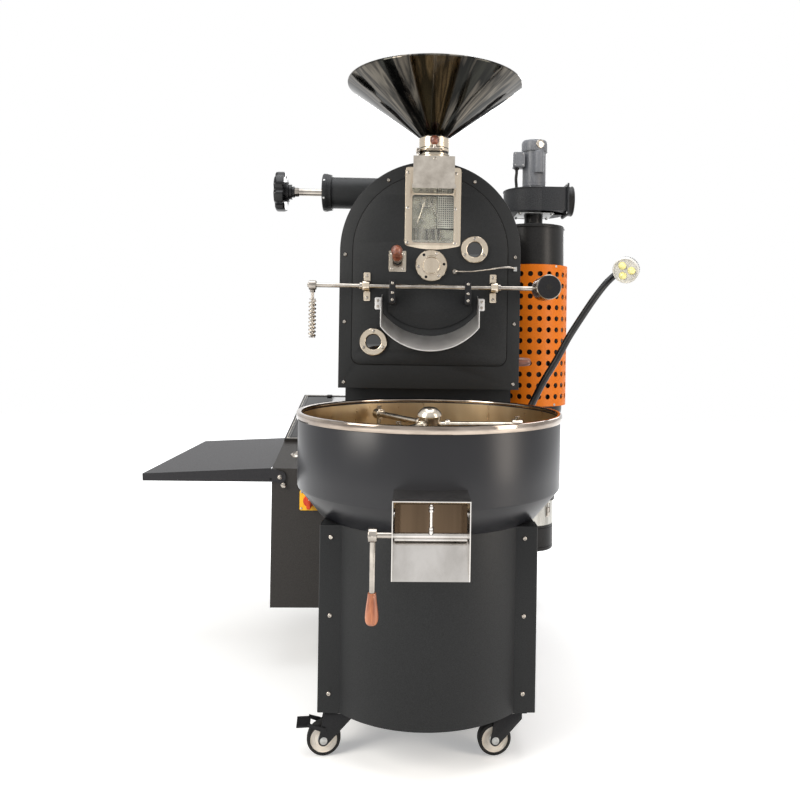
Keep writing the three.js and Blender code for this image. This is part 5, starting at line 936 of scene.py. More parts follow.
def make_sampler():
    shape = joined(
        ring([(7.4, -26), (9, -26), (9, 118), (8.6, 120), (7.4, 120)], axis=Y, sides=40),
        ring([(9, -25), (11.2, -25), (11.8, -24), (11.8, -17), (9, -16)], axis=Y, sides=40),
    )
    grip = lathe([
        (0, -96), (4, -95.5), (8.4, -93.6), (12, -90.6), (14.4, -86.4), (15.3, -81), (14.9, -76), (13.6, -71.6),
        (11.6, -67.6), (10, -64), (9.5, -60), (9.8, -56), (11, -51.6), (12.6, -47), (13.5, -42), (13.77, -38),
        (13.3, -33), (11.9, -28.6), (9.8, -25), (9.5, -24), (0, -24),
    ], axis=Y, sides=56)
    for name, part, finish, instead in (
        ("sampler_tube", shape, "bright_wood", ["sampler"]), ("sampler_grip", grip, "dark_wood", []),
    ):
        seated = moved(turned(part, X, SAMPLER_TILT), SAMPLER_X, PANEL_Y, SAMPLER_Z)
        add(name, seated, finish, "sampler", instead)


def make_air_pull():
    y, z = 360, 864
    grip = lathe([
        (0, 247), (9.6, 247), (10.6, 248), (12.6, 254), (13.4, 261), (13.5, 270), (13, 280), (11.8, 290),
        (10, 296), (7, 298.6), (3, 299), (0, 299),
    ], (0, y, z), X, 48)
    collar = ring([(5.4, 232.5), (12, 232.5), (13, 234), (13, 240), (12, 241), (5.4, 241)], (0, y, z), X, 36)
    add("air_pull_stem", rod(5, (186, y, z), X, 66, 28), "bright_wood", "air_pull", ["air_pull"])
    add("air_pull_grip", grip, "dark_wood_x", "air_pull")
    add("air_pull_collar", collar, "satin")


# Discharge door, handle, counterweight and chute lip

def on_shaft(profile, x, axis, sides, closed=False):
    """A round part about the door's shaft line, or one that stands across it."""
    return lathe(profile, (x, DOOR_SHAFT_Y, DOOR_SHAFT_Z), axis, sides, closed)


def make_door():
    shaft = on_shaft(bevelled(0, 6, -334, 300), 0, X, 32)
    add("door_shaft_bar", shaft, "bright", "discharge_door", ["door_shaft"])
    leaf = plate(scoop(117, 1062, 1004, 956, 40), "XZ", 250.7, 254.7, 0.8)
    add("door_leaf", leaf, "black_texture", "discharge_door", ["door_panel"])
    arm_outline = [
        (205, 1087), (205, 1080), (205, 1026), (208, 1022), (252.5, 1022), (252.5, 1039), (229, 1053.7),
        (229, 1082), (225, 1087),
    ]
    saddle_outline = [
        (255, DOOR_SHAFT_Z - 15), (255, DOOR_SHAFT_Z + 15), (225, DOOR_SHAFT_Z + 15),
        *arc(DOOR_SHAFT_Y + 1, DOOR_SHAFT_Z + 2, 13, 90, 180, 6),
        *arc(DOOR_SHAFT_Y + 1, DOOR_SHAFT_Z - 2, 13, 180, 270, 6), (225, DOOR_SHAFT_Z - 15),
    ]
    for word, side in SIDES:
        x = side * 103
        hole = circle(DOOR_SHAFT_Y, DOOR_SHAFT_Z, 6.2, 24)
        arm = plate(arm_outline, "YZ", x - 8.5, x + 8.5, 1.2, holes=[hole])
        add(f"door_arm_{word}", arm, "black_fine", "discharge_door", angle=30)
        screws(f"door_arm_screws_{word}", 205, -Y, [(x, z) for z in (1079, 1053, 1034)], 4.2, 2.4, "bright",
               "discharge_door")
    for word, side in SIDES:
        x = side * 175
        base = plate(rounded(x - 9, x + 9, DOOR_SHAFT_Z - 39.5, DOOR_SHAFT_Z + 39.5, 3), "XZ", 251, 255)
        hole = circle(DOOR_SHAFT_Y, DOOR_SHAFT_Z, 6.3, 24)
        saddle = plate(saddle_outline, "YZ", x - 9, x + 9, 0.6, holes=[hole])
        add(f"shaft_bracket_{word}", joined(base, saddle), "satin_face", "machine", [f"shaft_strap_{word}"],
            angle=30)
        spots = [(x, DOOR_SHAFT_Z + dz) for dz in (-30.5, 30.5)]
        screws(f"shaft_bracket_screws_{word}", 251, -Y, spots, 4.4, 2.4)
        collar = on_shaft(bevelled(6, 10.8, -4, 4, 0.8), x + side * 13.5, X, 36, closed=True)
        add(f"shaft_collar_{word}", collar, "bright", "discharge_door")


def make_handle():
    x = -320
    bar = joined(
        on_shaft(bevelled(6.2, 13, -10, 10), x, X, 48, closed=True),
        rod(4, (x, DOOR_SHAFT_Y, 928.5), Z, 133, 24),
        *[ring(bevelled(4, 9, 0, 3, 0.6), (x, DOOR_SHAFT_Y, z), Z, 32) for z in (1030.9, 927.9)],
        lathe([(0, 927.7), (3, 927.7), (4, 928.7), (4, 940), (0, 940)], (x, DOOR_SHAFT_Y, 0), Z, 24),
        hex_nut(x, DOOR_SHAFT_Y, 1051, Z, 7.4, 7), rod(2.6, (x, DOOR_SHAFT_Y - 15, DOOR_SHAFT_Z), Y, 6, 16),
    )
    add("handle_bar", bar, "bright", "discharge_door", ["door_handle"], edge=0.2)
    add("handle_spring", coil((x, DOOR_SHAFT_Y, 1027.4), 7.5, 3, 10.4, 9), "spring_wire", "discharge_door",
        ["grip_spring"])
    x = 312
    weight = on_shaft([(0, -82), (31.6, -82), (33, -80.6), (33, 11), (31.6, 13), (0, 13)], x, Y, 80)
    face = on_shaft([(0, -85), (29, -85), (30.6, -84), (31, -82.4), (31, -81), (0, -81)], x, Y, 80)
    plug = rod(8.6, (x, 132.4, DOOR_SHAFT_Z), -Y, 1.2)
    add("weight_cylinder", weight, "satin", "discharge_door", ["counterweight"], angle=30)
    add("weight_face", face, "black_fine", "discharge_door", angle=30)
    add("weight_plug", plug, "black_flat", "discharge_door")


def make_lip():
    half, top, side, low, depth, drop, wall = 134, 1050, 1000, 934, 70, 39, 2.5
    outer = scoop(half, top, side, low, 44)
    inner = scoop(half - wall, top, side, low + wall, 44)
    u_shape = [*outer[:-1], (half - wall, top), *reversed(inner[:-2]), (-half + wall, top), (-half, top)]
    points, faces = plate(u_shape, "XZ", PANEL_Y - depth, PANEL_Y)
    sloped = [(x, y, z + (y - PANEL_Y) * drop / depth) for x, y, z in points]
    add("chute_band", (sloped, faces), "satin_lip", "machine", ["discharge_lip"], angle=30)
    ears = [plate(rounded(x0, x1, 1008, 1042, 4), "XZ", 252.5, 254.8, 0.4)
            for x0, x1 in ((-152.75, -131.5), (131.5, 152.75))]
    add("chute_ears", joined(*ears), "satin_lip")
    screws("chute_screws", 252.5, -Y, grid((-144.5, 144.5), (1033, 1017)), 4.0, 2.2)


for make in (
    make_face, make_housing, make_drum, make_bearing_cover, make_sights, make_probe, make_sampler,
    make_air_pull, make_door, make_handle, make_lip,
):
    make()


# Hopper, feed gate, inlet box and window

CHUTE_X, HOPPER_Y = 5, 214
WINDOW_LOW, WINDOW_TOP = 1196, 1329


def at_hopper(profile, sides=96, closed=True):
    return lathe(profile, (CHUTE_X, HOPPER_Y, 0), Z, sides, closed)


def make_hopper():
    bands = [at_hopper([(40.6, low), (41.2, low), (41.2, high), (40.6, high)])
             for low, high in ((1419, 1423.8), (1436.6, 1472))]
    add("neck_bands", joined(*bands), "satin_face", angle=30)
    cone = at_hopper([
        (40.5, 1418), (40.5, 1443.2), (41.3, 1443.8), (41.3, 1446), (40.5, 1446.6), (40.5, 1475),
        (42.2, 1476.4), (235.2, 1615.4), (236.4, 1616.2), (237, 1618.6), (236.2, 1621), (234, 1622),
        (231.8, 1621), (231, 1619), (231.2, 1617), (233, 1616.4), (36.4, 1477.6), (38.5, 1473), (38.5, 1418),
    ], 192)
    add("hopper_cone", cone, "reflection_painted_cone", "machine", ["hopper"], angle=32)
    clamp = at_hopper([(40.7, 1424), (42.4, 1424), (42.8, 1425), (42.8, 1429), (40.7, 1429)], 72)
    add("neck_band", clamp, "satin")
    lug = joined(
        box(-43, -35.5, 187, 203, 1427, 1443),
        screw(-39.5, 187, 1435, -Y, 4.6, 3.0), hex_nut(-39.5, 203, 1435, Y, 5, 4),
    )
    add("neck_clamp", lug, "bright", edge=0.5)
    add("neck_seam", box(CHUTE_X - 2, CHUTE_X + 2, 172.6, 174, 1447, 1474), "polished", edge=0.3)


def make_feed_gate():
    rod_foot = (CHUTE_X, 150, 0)
    slide = joined(
        rod(37.9, (CHUTE_X, HOPPER_Y, 1431), Z, 3, 64),
        plate(rounded(CHUTE_X - 22, CHUTE_X + 22, 142, 214, 4), "XY", 1431, 1434, 0.4),
        lathe([(0, 1434), (7.5, 1434), (7.5, 1436), (4, 1437.4), (4, 1446), (0, 1446)], rod_foot, Z, 28),
    )
    knob = lathe([
        (0, 1442.8), (4, 1443.2), (7.2, 1445), (10.2, 1448.2), (12, 1452.2), (12.3, 1456), (11.6, 1460),
        (9.6, 1463.6), (6.4, 1466.2), (3, 1467.2), (0, 1467.4),
    ], rod_foot, Z, 48)
    add("gate_slide", slide, "bright_wood", "feed_gate", ["feed_gate"], edge=0.2)
    add("gate_knob", knob, "dark_wood", "feed_gate")


def surround_outline():
    """The window's plate: rounded corners and a bottom edge that bows down."""
    left, right, bow = CHUTE_X - 68.5, CHUTE_X + 68.5, 9
    shares = [i / 16 for i in range(1, 16)]
    bottom = [(left + share * (right - left), 1186 - bow * 4 * share * (1 - share)) for share in shares]
    return [
        *arc(left, 1195, 9, 180, 262, 6), *bottom, *arc(right, 1195, 9, 278, 360, 6),
        *arc(right, 1397, 9, 0, 90, 6), *arc(left, 1397, 9, 90, 180, 6),
    ]


def make_inlet():
    dress("inlet_box", "polished", 0.7)
    add("inlet_screw", screw(7, 169, 1411, -Y, 4.4, 2.4), "bright")
    holes = [rounded(CHUTE_X - 58, CHUTE_X + 58, WINDOW_LOW, WINDOW_TOP, 8),
             rectangle(CHUTE_X - 45, CHUTE_X + 45, 1340, 1396)]
    surround = plate(surround_outline(), "XZ", 252.9, 255.4, 0.6, holes=holes)
    add("window_surround", surround, "satin_face", "machine", ["window_frame"], angle=30)
    spots = [(-65.3, 1390), (-65.2, 1291.5), (-65.2, 1195), (68.5, 1389), (67.6, 1290.5), (67, 1195)]
    screws("window_screws", 252.9, -Y, spots, 4.6, 2.4)
    pane = rounded(CHUTE_X - 57.6, CHUTE_X + 57.6, WINDOW_LOW + 0.4, WINDOW_TOP - 0.4, 8)
    add("window_pane", plate(pane, "XZ", 255.4, 260, 0.4), "window_pane", "machine", ["window_glass"])


def flattened(shape):
    """A round shape pressed thin, so that it stands in the shallow space behind the window."""
    points, faces = shape
    return [(x, 269.5 + 0.16 * y, z) for x, y, z in points], faces


def make_window_inside():
    half, pitch = 1.3, 6
    upright = [CHUTE_X + 14 + pitch * i for i in range(8)]
    level = [1240 + pitch * i for i in range(15)]
    wires = [box(x - half, x + half, 266, 267, 1238, WINDOW_TOP - 2) for x in upright]
    wires += [box(CHUTE_X + 13, CHUTE_X + 58, 267, 268, z - half, z + half) for z in level]
    add("window_mesh", joined(*wires), "pale_line_steel")
    add("window_backing", box(CHUTE_X - 60, CHUTE_X + 60, 276, 278, 1192, WINDOW_TOP + 4), "warm_mirror")
    # Painted shade: a dark sheet behind the mesh stands for the shaded space behind it.
    add("window_mesh_painted_shade", box(CHUTE_X + 11, CHUTE_X + 59, 269, 270, 1236, WINDOW_TOP), "painted_shade_black_steel")
    ledge = box(CHUTE_X - 56, CHUTE_X + 56, 262, 276, 1198, 1204)
    legs = [rod(2.4, (CHUTE_X + x, 268, 1308), Vector((lean, 0, -1)), 62, 16)
            for x, lean in ((-24, -0.34), (-6, 0.5))]
    add("window_inside", joined(ledge, *legs), "polished", edge=0.3)
    drums = [flattened(lathe(profile, (CHUTE_X + x, 0, 0), Z, 64)) for x, profile in (
        (-14, [
            (0, 1204), (37, 1204), (37, 1216), (38.5, 1217), (38.5, 1219), (37, 1220), (37, 1236), (0, 1236),
        ]),
        (-16, [(0, 1296), (8, 1297), (16, 1303), (20, 1312), (20, 1320), (16, 1326), (0, 1327)]),
    )]
    add("window_drums", joined(*drums), "mirror_inside", angle=30)


make_hopper()
make_feed_gate()
make_inlet()
make_window_inside()


# Smoke pipe with its damper, cyclone, blower and chaff bin

SMOKE_Y, SMOKE_Z = 512, 1376
CYC_X, CYC_Y = 360, 750
SHIELD_LOW, SHIELD_TOP = 707, 1177
BLOW_LOW, BLOW_TOP = 1357, 1436
FLANGE_X, FLANGE_LOW, FLANGE_TOP = 456, 1343, 1449
LEAD = (297, 730)
SHEET_WALL = 3


def on_pipe(profile, sides, closed=False):
    return lathe(profile, (0, SMOKE_Y, SMOKE_Z), X, sides, closed)


def on_cyclone(profile, sides=96, closed=False):
    return lathe(profile, (CYC_X, CYC_Y, 0), Z, sides, closed)


def hollow(x0, x1, z0, z1):
    """A rectangle's outline, and the outline of its bore."""
    wall = SHEET_WALL
    return rectangle(x0, x1, z0, z1), rectangle(x0 + wall, x1 - wall, z0 + wall, z1 - wall)


def make_smoke_pipe():
    pipe = on_pipe([
        (11.4, -332), (54.6, -332), (56.6, -331.2), (58, -329), (58, -319.5), (57, -317), (55.4, -310),
        (55, -304.8), (54, -304), (48, -304), (48, -80), (45, -80), (45, -328), (11.4, -328),
    ], 96, closed=True)
    add("smoke_pipe_tube", pipe, "black_texture", "machine", ["smoke_pipe"], angle=28)
    weld = on_pipe([(48, -147), (50.4, -146), (50.4, -142), (48, -141)], 64, closed=True)
    add("smoke_pipe_bead", weld, "black_fine")
    outward = [Vector((0, math.cos(a), math.sin(a))) for a in (-1.7, -2.7, 2.6, 1.5)]
    heads = [screw(*(Vector((-325, SMOKE_Y, SMOKE_Z)) + out * 57.6), out, 3.6, 1.4) for out in outward]
    add("smoke_pipe_screws", joined(*heads), "zinc")


def make_handwheel():
    steps, lobes, share, radius = 168, 7, 0.1, 61.5
    points, faces = [], []
    sections = [
        (0.30, -471), (0.52, -471.5), (0.72, -473), (0.84, -476), (0.93, -477), (0.985, -474.6), (1.0, -470),
        (1.0, -454), (0.985, -449.4), (0.93, -447), (0.84, -447.5), (0.74, -450), (0.52, -450.5),
        (0.30, -450.5),
    ]
    for size, along in sections:
        for a, b in circle(0, 0, 1, steps):
            swell = min(1.0, 1 - share + 2 * share * (0.5 + 0.5 * math.cos(lobes * math.atan2(b, a))))
            reach = radius * size * swell
            points.append((along, SMOKE_Y + reach * a, SMOKE_Z + reach * b))
    rings = [list(range(k * steps, (k + 1) * steps)) for k in range(len(sections))]
    for a, b in zip(rings, [*rings[1:], rings[0]]):
        faces += ring_faces(a, b)
    add("handwheel_rim", (points, faces), "glossy_black", "damper_wheel", ["handwheel"], angle=40)
    hub = on_pipe([
        (0, -469), (17, -469), (19, -467.4), (19, -460), (30, -455), (30, -437.8), (29, -437), (23, -436.6),
        (23, -428.6), (22.2, -428), (17, -427.6), (17, -420.6), (16.4, -420), (0, -420),
    ], 72)
    add("handwheel_hub", hub, "black_plastic", "damper_wheel", angle=28)
    spindle = on_pipe([(0, -421), (11, -421), (11, -250), (0, -250)], 40)
    add("damper_spindle", spindle, "bright_plastic", "damper_wheel")
    add("damper_plug", on_pipe(bevelled(0, 43, -250, -242), 56), "iron_plastic", "damper_wheel")
    add("damper_nut", hex_nut(-421, SMOKE_Y, SMOKE_Z, X, 14, 14), "bright_plastic", "damper_wheel", edge=0.4)


def make_cyclone():
    body = on_cyclone([
        (49, 388), (84.6, 385), (86, 386.2), (86, 389.8), (84.6, 391), (52.8, 391), (52, 392), (104.6, 688),
        (105, 692), (105, SHIELD_LOW), (115.2, SHIELD_LOW), (115.2, SHIELD_LOW + 8), (105, SHIELD_LOW + 8),
        (105, SHIELD_TOP - 8), (115.2, SHIELD_TOP - 8), (115.2, SHIELD_TOP), (105, SHIELD_TOP), (105, 1311),
        (104, 1313.4), (101.6, 1314), (33, 1314), (32, 1315), (32, BLOW_LOW - 3.3), (29, BLOW_LOW - 3.3),
        (29, 1311), (102, 1311), (102, 690), (49, 391),
    ], 144, closed=True)
    add("cyclone_body", body, "black_satin", "machine", ["cyclone"], angle=28)
    outline, bore = hollow(710, 790, 1236, 1300)
    add("cyclone_duct", plate(outline, "YZ", 205, 306, 0.6, holes=[bore]), "black_satin")
    collar = plate(rectangle(704, 796, 1230, 1306), "YZ", 224, 228, holes=[outline])
    add("cyclone_duct_collar", collar, "black_fine")
    foot = joined(
        plate(rounded(705, 795, 600, 690, 5), "YZ", 238.3, 241.3),
        plate([(241, 600), (300, 600), (330, 645), (241, 645)], "XZ", 747, 753, 0.6),
    )
    add("cyclone_foot", foot, "black_fine")
    screws("cyclone_foot_screws", 241.3, X, grid((718, 782), (613, 677)), 5, 2.8, "zinc")
    bead = on_cyclone([(105, 1302), (107.4, 1303.4), (107.4, 1306.4), (105, 1308)], closed=True)
    add("cyclone_beads", bead, "black_satin")
    screws("cyclone_lid_screws", 391, Z, circle(CYC_X, CYC_Y, 76, 8), 4.2, 2.6, "zinc")


def make_shield():
    """A sheet rolled into a tube, with round holes in a square grid. Each hole sits in a cell of the grid."""
    radius, wall, low, high = 118, 2.5, SHIELD_LOW, SHIELD_TOP
    across, hole_radius, hole_steps = 23, 8.8, 24
    rows, pitch_z = 12, 37.0
    margin = (high - low - rows * pitch_z) / 2
    cell_half = math.pi * radius / across
    corners = [(1, 1), (-1, 1), (-1, -1), (1, -1)]
    border_steps = hole_steps // 4
    points, faces, index = [], [], {}

    def vertex(u, z, outer):
        """The number of the point at u round the sheet and z up it."""
        key = (round(u % (across * 2 * cell_half), 3), round(z, 3), outer)
        if key not in index:
            r = radius if outer else radius - wall
            index[key] = len(points)
            points.append((CYC_X + r * math.cos(u / radius), CYC_Y + r * math.sin(u / radius), z))
        return index[key]

    def across_wall(a, b):
        return [vertex(*a, True), vertex(*b, True), vertex(*b, False), vertex(*a, False)]

    for i in range(across):
        for j in range(rows):
            cu, cz = (i * 2 + 1) * cell_half, low + margin + (j + 0.5) * pitch_z
            rim = around(cu, cz, hole_radius, [45 + 360 * k / hole_steps for k in range(hole_steps)])
            edge = []
            for k in range(hole_steps):
                side, step = divmod(k, border_steps)
                t = step / border_steps
                (ax, az), (bx, bz) = corners[side], corners[(side + 1) % 4]
                edge.append((cu + cell_half * (ax + (bx - ax) * t), cz + pitch_z / 2 * (az + (bz - az) * t)))
            for k in range(hole_steps):
                n = (k + 1) % hole_steps
                for outer in (True, False):
                    faces.append([vertex(*spot, outer) for spot in (edge[k], edge[n], rim[n], rim[k])])
                faces.append(across_wall(rim[k], rim[n]))
    seams = [2 * cell_half * k / border_steps for k in range(across * border_steps + 1)]
    for u0, u1 in zip(seams, seams[1:]):
        for z0, z1 in ((low, low + margin), (high - margin, high)):
            for outer in (True, False):
                faces.append([vertex(u, z, outer) for u, z in rectangle(u0, u1, z0, z1)])
        for z in (low, high):
            faces.append(across_wall((u0, z), (u1, z)))
    add("perforated_shield", (points, faces), "orange", "machine", ["heat_shield"], angle=40)
    heads = []
    for a, z in grid((-2.1, -1.0, 0.2, 1.4, 2.6), (SHIELD_LOW + 5, SHIELD_TOP - 5)):
        out = Vector((math.cos(a), math.sin(a), 0))
        heads.append(screw(*(Vector((CYC_X, CYC_Y, z)) + out * 117.8), out, 4.2, 2.0))
    add("shield_screws", joined(*heads), "zinc")


def make_bin():
    top = 384.7
    upper = on_cyclone([
        (81, 303), (81, 378), (82, 381), (84.6, top - 3), (86, top - 2.4), (86, top - 0.8), (84.6, top),
        (78, top), (78, 303),
    ], 144, closed=True)
    lower = on_cyclone([
        (0, 216), (76, 216), (79, 217), (81, 220), (81, 228), (79.6, 229), (79.6, 231), (81, 232), (81, 292),
        (79.6, 293), (79.6, 295), (81, 296), (81, 302), (80, 303), (78, 303), (78, 219), (0, 219),
    ], 144)
    add("bin_upper", upper, "bin_steel", "chaff_bin", ["chaff_bin"], angle=30)
    add("bin_lower", lower, "bin_black", "chaff_bin", angle=30)
    # The catch is made as if it looked along X, and then turned to its place.
    catch = joined(
        box(80.6, 82.6, -9, 9, 330, 362),
        box(82.6, 85.4, -6.5, 6.5, 334, 346), box(82.6, 84.4, -7.5, 7.5, 346, 361),
    )
    run = [(84.6, y, z) for y, z in ((-6, 344), (-6, 372), (-4, 375), (4, 375), (6, 372), (6, 344))]
    catch, (run, _) = [moved(turned(shape, Z, -48), CYC_X, CYC_Y) for shape in (catch, (run, []))]
    add("bin_latch", catch, "bright_bin", "chaff_bin", edge=0.6)
    add("bin_latch_loop", tube(run, 1.3, 10), "bright_bin", "chaff_bin")


def make_blower():
    wall = SHEET_WALL
    scroll = on_cyclone([
        (29, BLOW_LOW), (103, BLOW_LOW), (104, BLOW_LOW + 1), (104, BLOW_TOP - 5), (105.4, BLOW_TOP - 4.4),
        (106, BLOW_TOP - 3.6), (106, BLOW_TOP - 1), (105, BLOW_TOP), (60, BLOW_TOP), (58, BLOW_TOP - wall),
        (29, BLOW_TOP - wall), (29, BLOW_LOW + wall),
    ], 144, closed=True)
    add("blower_scroll", scroll, "dark_grey", "machine", ["blower"], angle=30)
    near, far = 646, 738
    outlet, bore = hollow(near, far, BLOW_LOW, BLOW_TOP)
    add("blower_outlet", plate(outlet, "YZ", 372, FLANGE_X + 2, 1.0, holes=[bore]), "dark_grey")
    y, z, half = (near + far) / 2, (FLANGE_LOW + FLANGE_TOP) / 2, (FLANGE_TOP - FLANGE_LOW) / 2
    flange = rounded(y - half, y + half, FLANGE_LOW, FLANGE_TOP, 4)
    add("blower_flange", plate(flange, "YZ", FLANGE_X, FLANGE_X + 6, 0.8, holes=[bore]), "dark_grey")
    collar = ring([
        (47, 0), (51, 0), (51, 3), (49.6, 4), (49.6, 13), (50.6, 14.6), (50.6, 18), (49.6, 19.6), (47.6, 20),
        (47, 19),
    ], (FLANGE_X + 6, y, z), X, 96)
    add("blower_collar", collar, "black_satin_dark", angle=30)
    bolts = grid((y - half + 7, y + half - 7), (z - half + 6, z + half - 6))
    screws("blower_flange_bolts", FLANGE_X, -X, bolts, 4.6, 3, "zinc_dark")
    base = rounded(CYC_X - 62, CYC_X + 62, CYC_Y - 62, CYC_Y + 62, 5)
    hole = circle(CYC_X, CYC_Y, 29, 40)
    add("blower_base_plate", plate(base, "XY", BLOW_LOW - wall, BLOW_LOW, holes=[hole]), "zinc_dark")
    corners = grid((CYC_X - 54, CYC_X + 54), (CYC_Y - 54, CYC_Y + 54))
    screws("blower_base_screws", BLOW_LOW - wall, -Z, corners, 5.2, 5, "zinc_dark")
    gland = ring([(5.4, 0), (9, 0), (9, 4), (7.6, 5), (7.6, 6.4), (6.4, 7), (5.4, 7)], (*LEAD, BLOW_TOP), Z, 24)
    add("blower_gland", gland, "black_plastic_dark")


def make_motor():
    low, top, cap_top = BLOW_TOP, 1571, 1611
    shell = on_cyclone([
        (0, low + 7), (38, low + 7), (38, low + 16), (40.5, low + 17), (40.5, low + 24), (39.8, low + 24.8),
        (39.8, low + 25.4), (40.5, low + 26.2), (40.5, top), (0, top),
    ])
    add("motor_frame", joined(on_cyclone(bevelled(0, 56, low, low + 8, 1.4)), shell), "motor_grey", "machine",
        ["blower_motor"], angle=30)
    cap = on_cyclone([
        (0, top), (43, top), (44.6, top + 0.6), (45, top + 2), (45, cap_top - 12), (44.2, cap_top - 6),
        (41.6, cap_top - 2), (37, cap_top - 0.2), (34, cap_top), (20.6, cap_top), (20, cap_top - 0.8),
        (0, cap_top - 0.8),
    ])
    add("motor_cap", cap, "motor_grey", angle=30)
    facing = Vector((math.sin(math.radians(17)), -math.cos(math.radians(17)), 0))
    disc = lathe([(0, 1.6), (11.4, 1.6), (12.6, 1.2), (13.4, 2.0), (14, 1.2), (14, -3), (0, -3)],
                 Vector((CYC_X, CYC_Y, cap_top - 18)) + facing * 45, facing, 48)
    add("motor_blank_disc", disc, "polished_grey", angle=25)
    bolts = around(CYC_X, CYC_Y, 48, [22.5 + 45 * i for i in range(8)])
    screws("motor_foot_bolts", low + 8, Z, bolts, 4, 4, "zinc_grey")
    left, right, base, lid_top, front = 283, 323, 1513, 1565, 708
    case = plate(rounded(left, right, base, lid_top, 6), "XZ", front + 2, 752, 2.4)
    lid = plate(rounded(left + 1, right - 1, base + 1, lid_top - 1, 6), "XZ", front, front + 3, 1.0)
    add("terminal_box", joined(case, lid), "motor_grey", edge=0.3)
    spots = grid((left + 7, right - 7), (base + 7, lid_top - 7))
    screws("terminal_screws", front + 0.2, -Y, spots, 2.6, 1.4, "zinc_grey")
    cover = lathe([
        (0, 1494), (16.6, 1494), (18, 1495.4), (18, 1564), (17, 1568), (14.4, 1570.4), (11, 1571), (0, 1571),
    ], (370, 714, 0), Z, 48)
    add("capacitor_cover", cover, "motor_grey", angle=30)
    under = ring([(5.4, 0), (6.4, 0), (7.6, 0.8), (7.6, 2), (9, 3), (9, 7), (5.4, 7)], (*LEAD, base - 7), Z, 24)
    add("terminal_gland", under, "black_plastic_grey")
    bottom, top_end = BLOW_TOP + 7.2, base - 7.2
    rise = top_end - bottom
    run = [(*LEAD, bottom), (*LEAD, bottom + 0.15 * rise), (295, 728, (bottom + top_end) / 2),
           (*LEAD, top_end - 0.15 * rise), (*LEAD, top_end)]
    add("motor_lead", tube(smooth_run(run), 5, 20), "cable", "machine", ["motor_cable"])


for make in (make_smoke_pipe, make_handwheel, make_cyclone, make_shield, make_bin, make_blower, make_motor):
    make()


# Control cabinet, side shelf and lamp

CONSOLE_TILT = math.atan(152 / 600)
CONSOLE_X, CONSOLE_Y = -340.65, 644.5
BUTTON_X, BUTTON_Y = -377, 351
SWITCH_X, SWITCH_Z = -325, 476


def on_console(shape, x=CONSOLE_X, y=CONSOLE_Y):
    """Lays a shape made about its own origin on the sloped console."""
    return moved(turned(shape, X, math.degrees(CONSOLE_TILT)), x, y, 563 + (y - 259) * math.tan(CONSOLE_TILT))


def centred(half_x, half_z, radius):
    return rounded(-half_x, half_x, -half_z, half_z, radius)


def make_console():
    trim = plate(centred(90.35, 203.7, 4), "XY", 6.4, 8.0, 0.6, holes=[centred(76, 189.5, 5)])
    add("console_trim", on_console(trim), "console_dark")
    # Painted highlight: a pale line round the bezel, where its edge catches the light.
    line = plate(centred(84.5, 198, 4), "XY", 7.7, 8.5, 0.2, holes=[centred(82.6, 196.1, 3)])
    add("console_painted_highlight", on_console(line), "pale_line")
    glass = plate(centred(73.7, 187.1, 4), "XY", 4.3, 7.0)
    add("console_glass", on_console(glass), "screen", "machine", ["screen"])
    latch = joined(box(-9, 9, -5, 5, 7.5, 12.5), box(-5, 5, -9, -4, 7.5, 10.5))
    add("console_latch", on_console(latch, y=CONSOLE_Y + 186), "console_dark", edge=0.8)
    corners = [screw(x, y, 7.9, Z, 3.2, 1.6) for x, y in grid((-80, 80), (-193, 193))]
    add("console_screws", on_console(joined(*corners)), "bright_cabinet")
    rim = ring([(11.5, 0), (11.5, 3.6), (12.4, 4.2), (14, 4.2), (17.6, 2.4), (18.2, 0)], sides=64)
    add("button_ring", on_console(rim, BUTTON_X, BUTTON_Y), "bright_cabinet", angle=25)
    cap = lathe([
        (0, 3.4), (4.4, 3.5), (4.9, 3.0), (5.9, 3.0), (6.4, 3.5), (9.8, 3.4), (10.8, 2.4), (11, 1), (11, -5),
        (8, -5), (8, -10), (0, -10),
    ], sides=56)
    add("button_cap", on_console(cap, BUTTON_X, BUTTON_Y), "bright", "push_button", ["push_button"])


def make_cabinet():
    dress("control_cabinet", "cabinet", 1.4)
    x, z = SWITCH_X, SWITCH_Z
    hole = circle(x, z, 6, 24)
    square = plate(rounded(x - 28, x + 28, z - 28, z + 28, 5), "XZ", 255.6, 259, 0.6, holes=[hole])
    add("switch_plate", square, "yellow_cabinet")
    corners = [(x + dx, z + dz) for dz in (-22.5, 22.5) for dx in (-22.5, 22.5)]
    screws("switch_plate_screws", 255.6, -Y, corners, 2.8, 1.4, "bright_cabinet")
    hub = lathe([
        (0, 245.8), (14.6, 245.8), (16.4, 246.6), (17, 248), (17, 255.4), (5, 255.4), (5, 264), (0, 264),
    ], (x, 0, z), Y, 56)
    bar = plate(rounded(x - 6, x + 6, 455, 497, 5), "XZ", 233.9, 247, 1.6)
    add("switch_knob", joined(hub, bar), "red", "main_switch", ["main_switch"], edge=0.4)
    mark = plate(rounded(x - 1, x + 1, 480, 494, 0.8), "XZ", 233.6, 234.6, 0.2)
    add("switch_mark", mark, "pale_switch", "main_switch")
    # Painted shade: dark plates stand for the shade inside the cabinet's vent openings.
    vents = [plate(rounded(left, left + 8, 250, 330, 3.8), "XZ", 858.7, 859.2, 0.2)
             for left in range(-400, -291, 18)]
    add("cabinet_vent_painted_shade", joined(*vents), "painted_shade_black_cabinet")
    door = plate(rounded(285, 835, 200, 545, 6), "YZ", -431.9, -430.8, 0.4)
    add("cabinet_side_panel", door, "cabinet", edge=0.2)
    # Flush discs, because the folded shelf lies close to them.
    side = [rod(4, (-432.1, y, z), X, 1.0, 24) for y, z in grid((296, 560, 824), (212, 533))]
    add("cabinet_side_screws", joined(*side), "bright_cabinet")


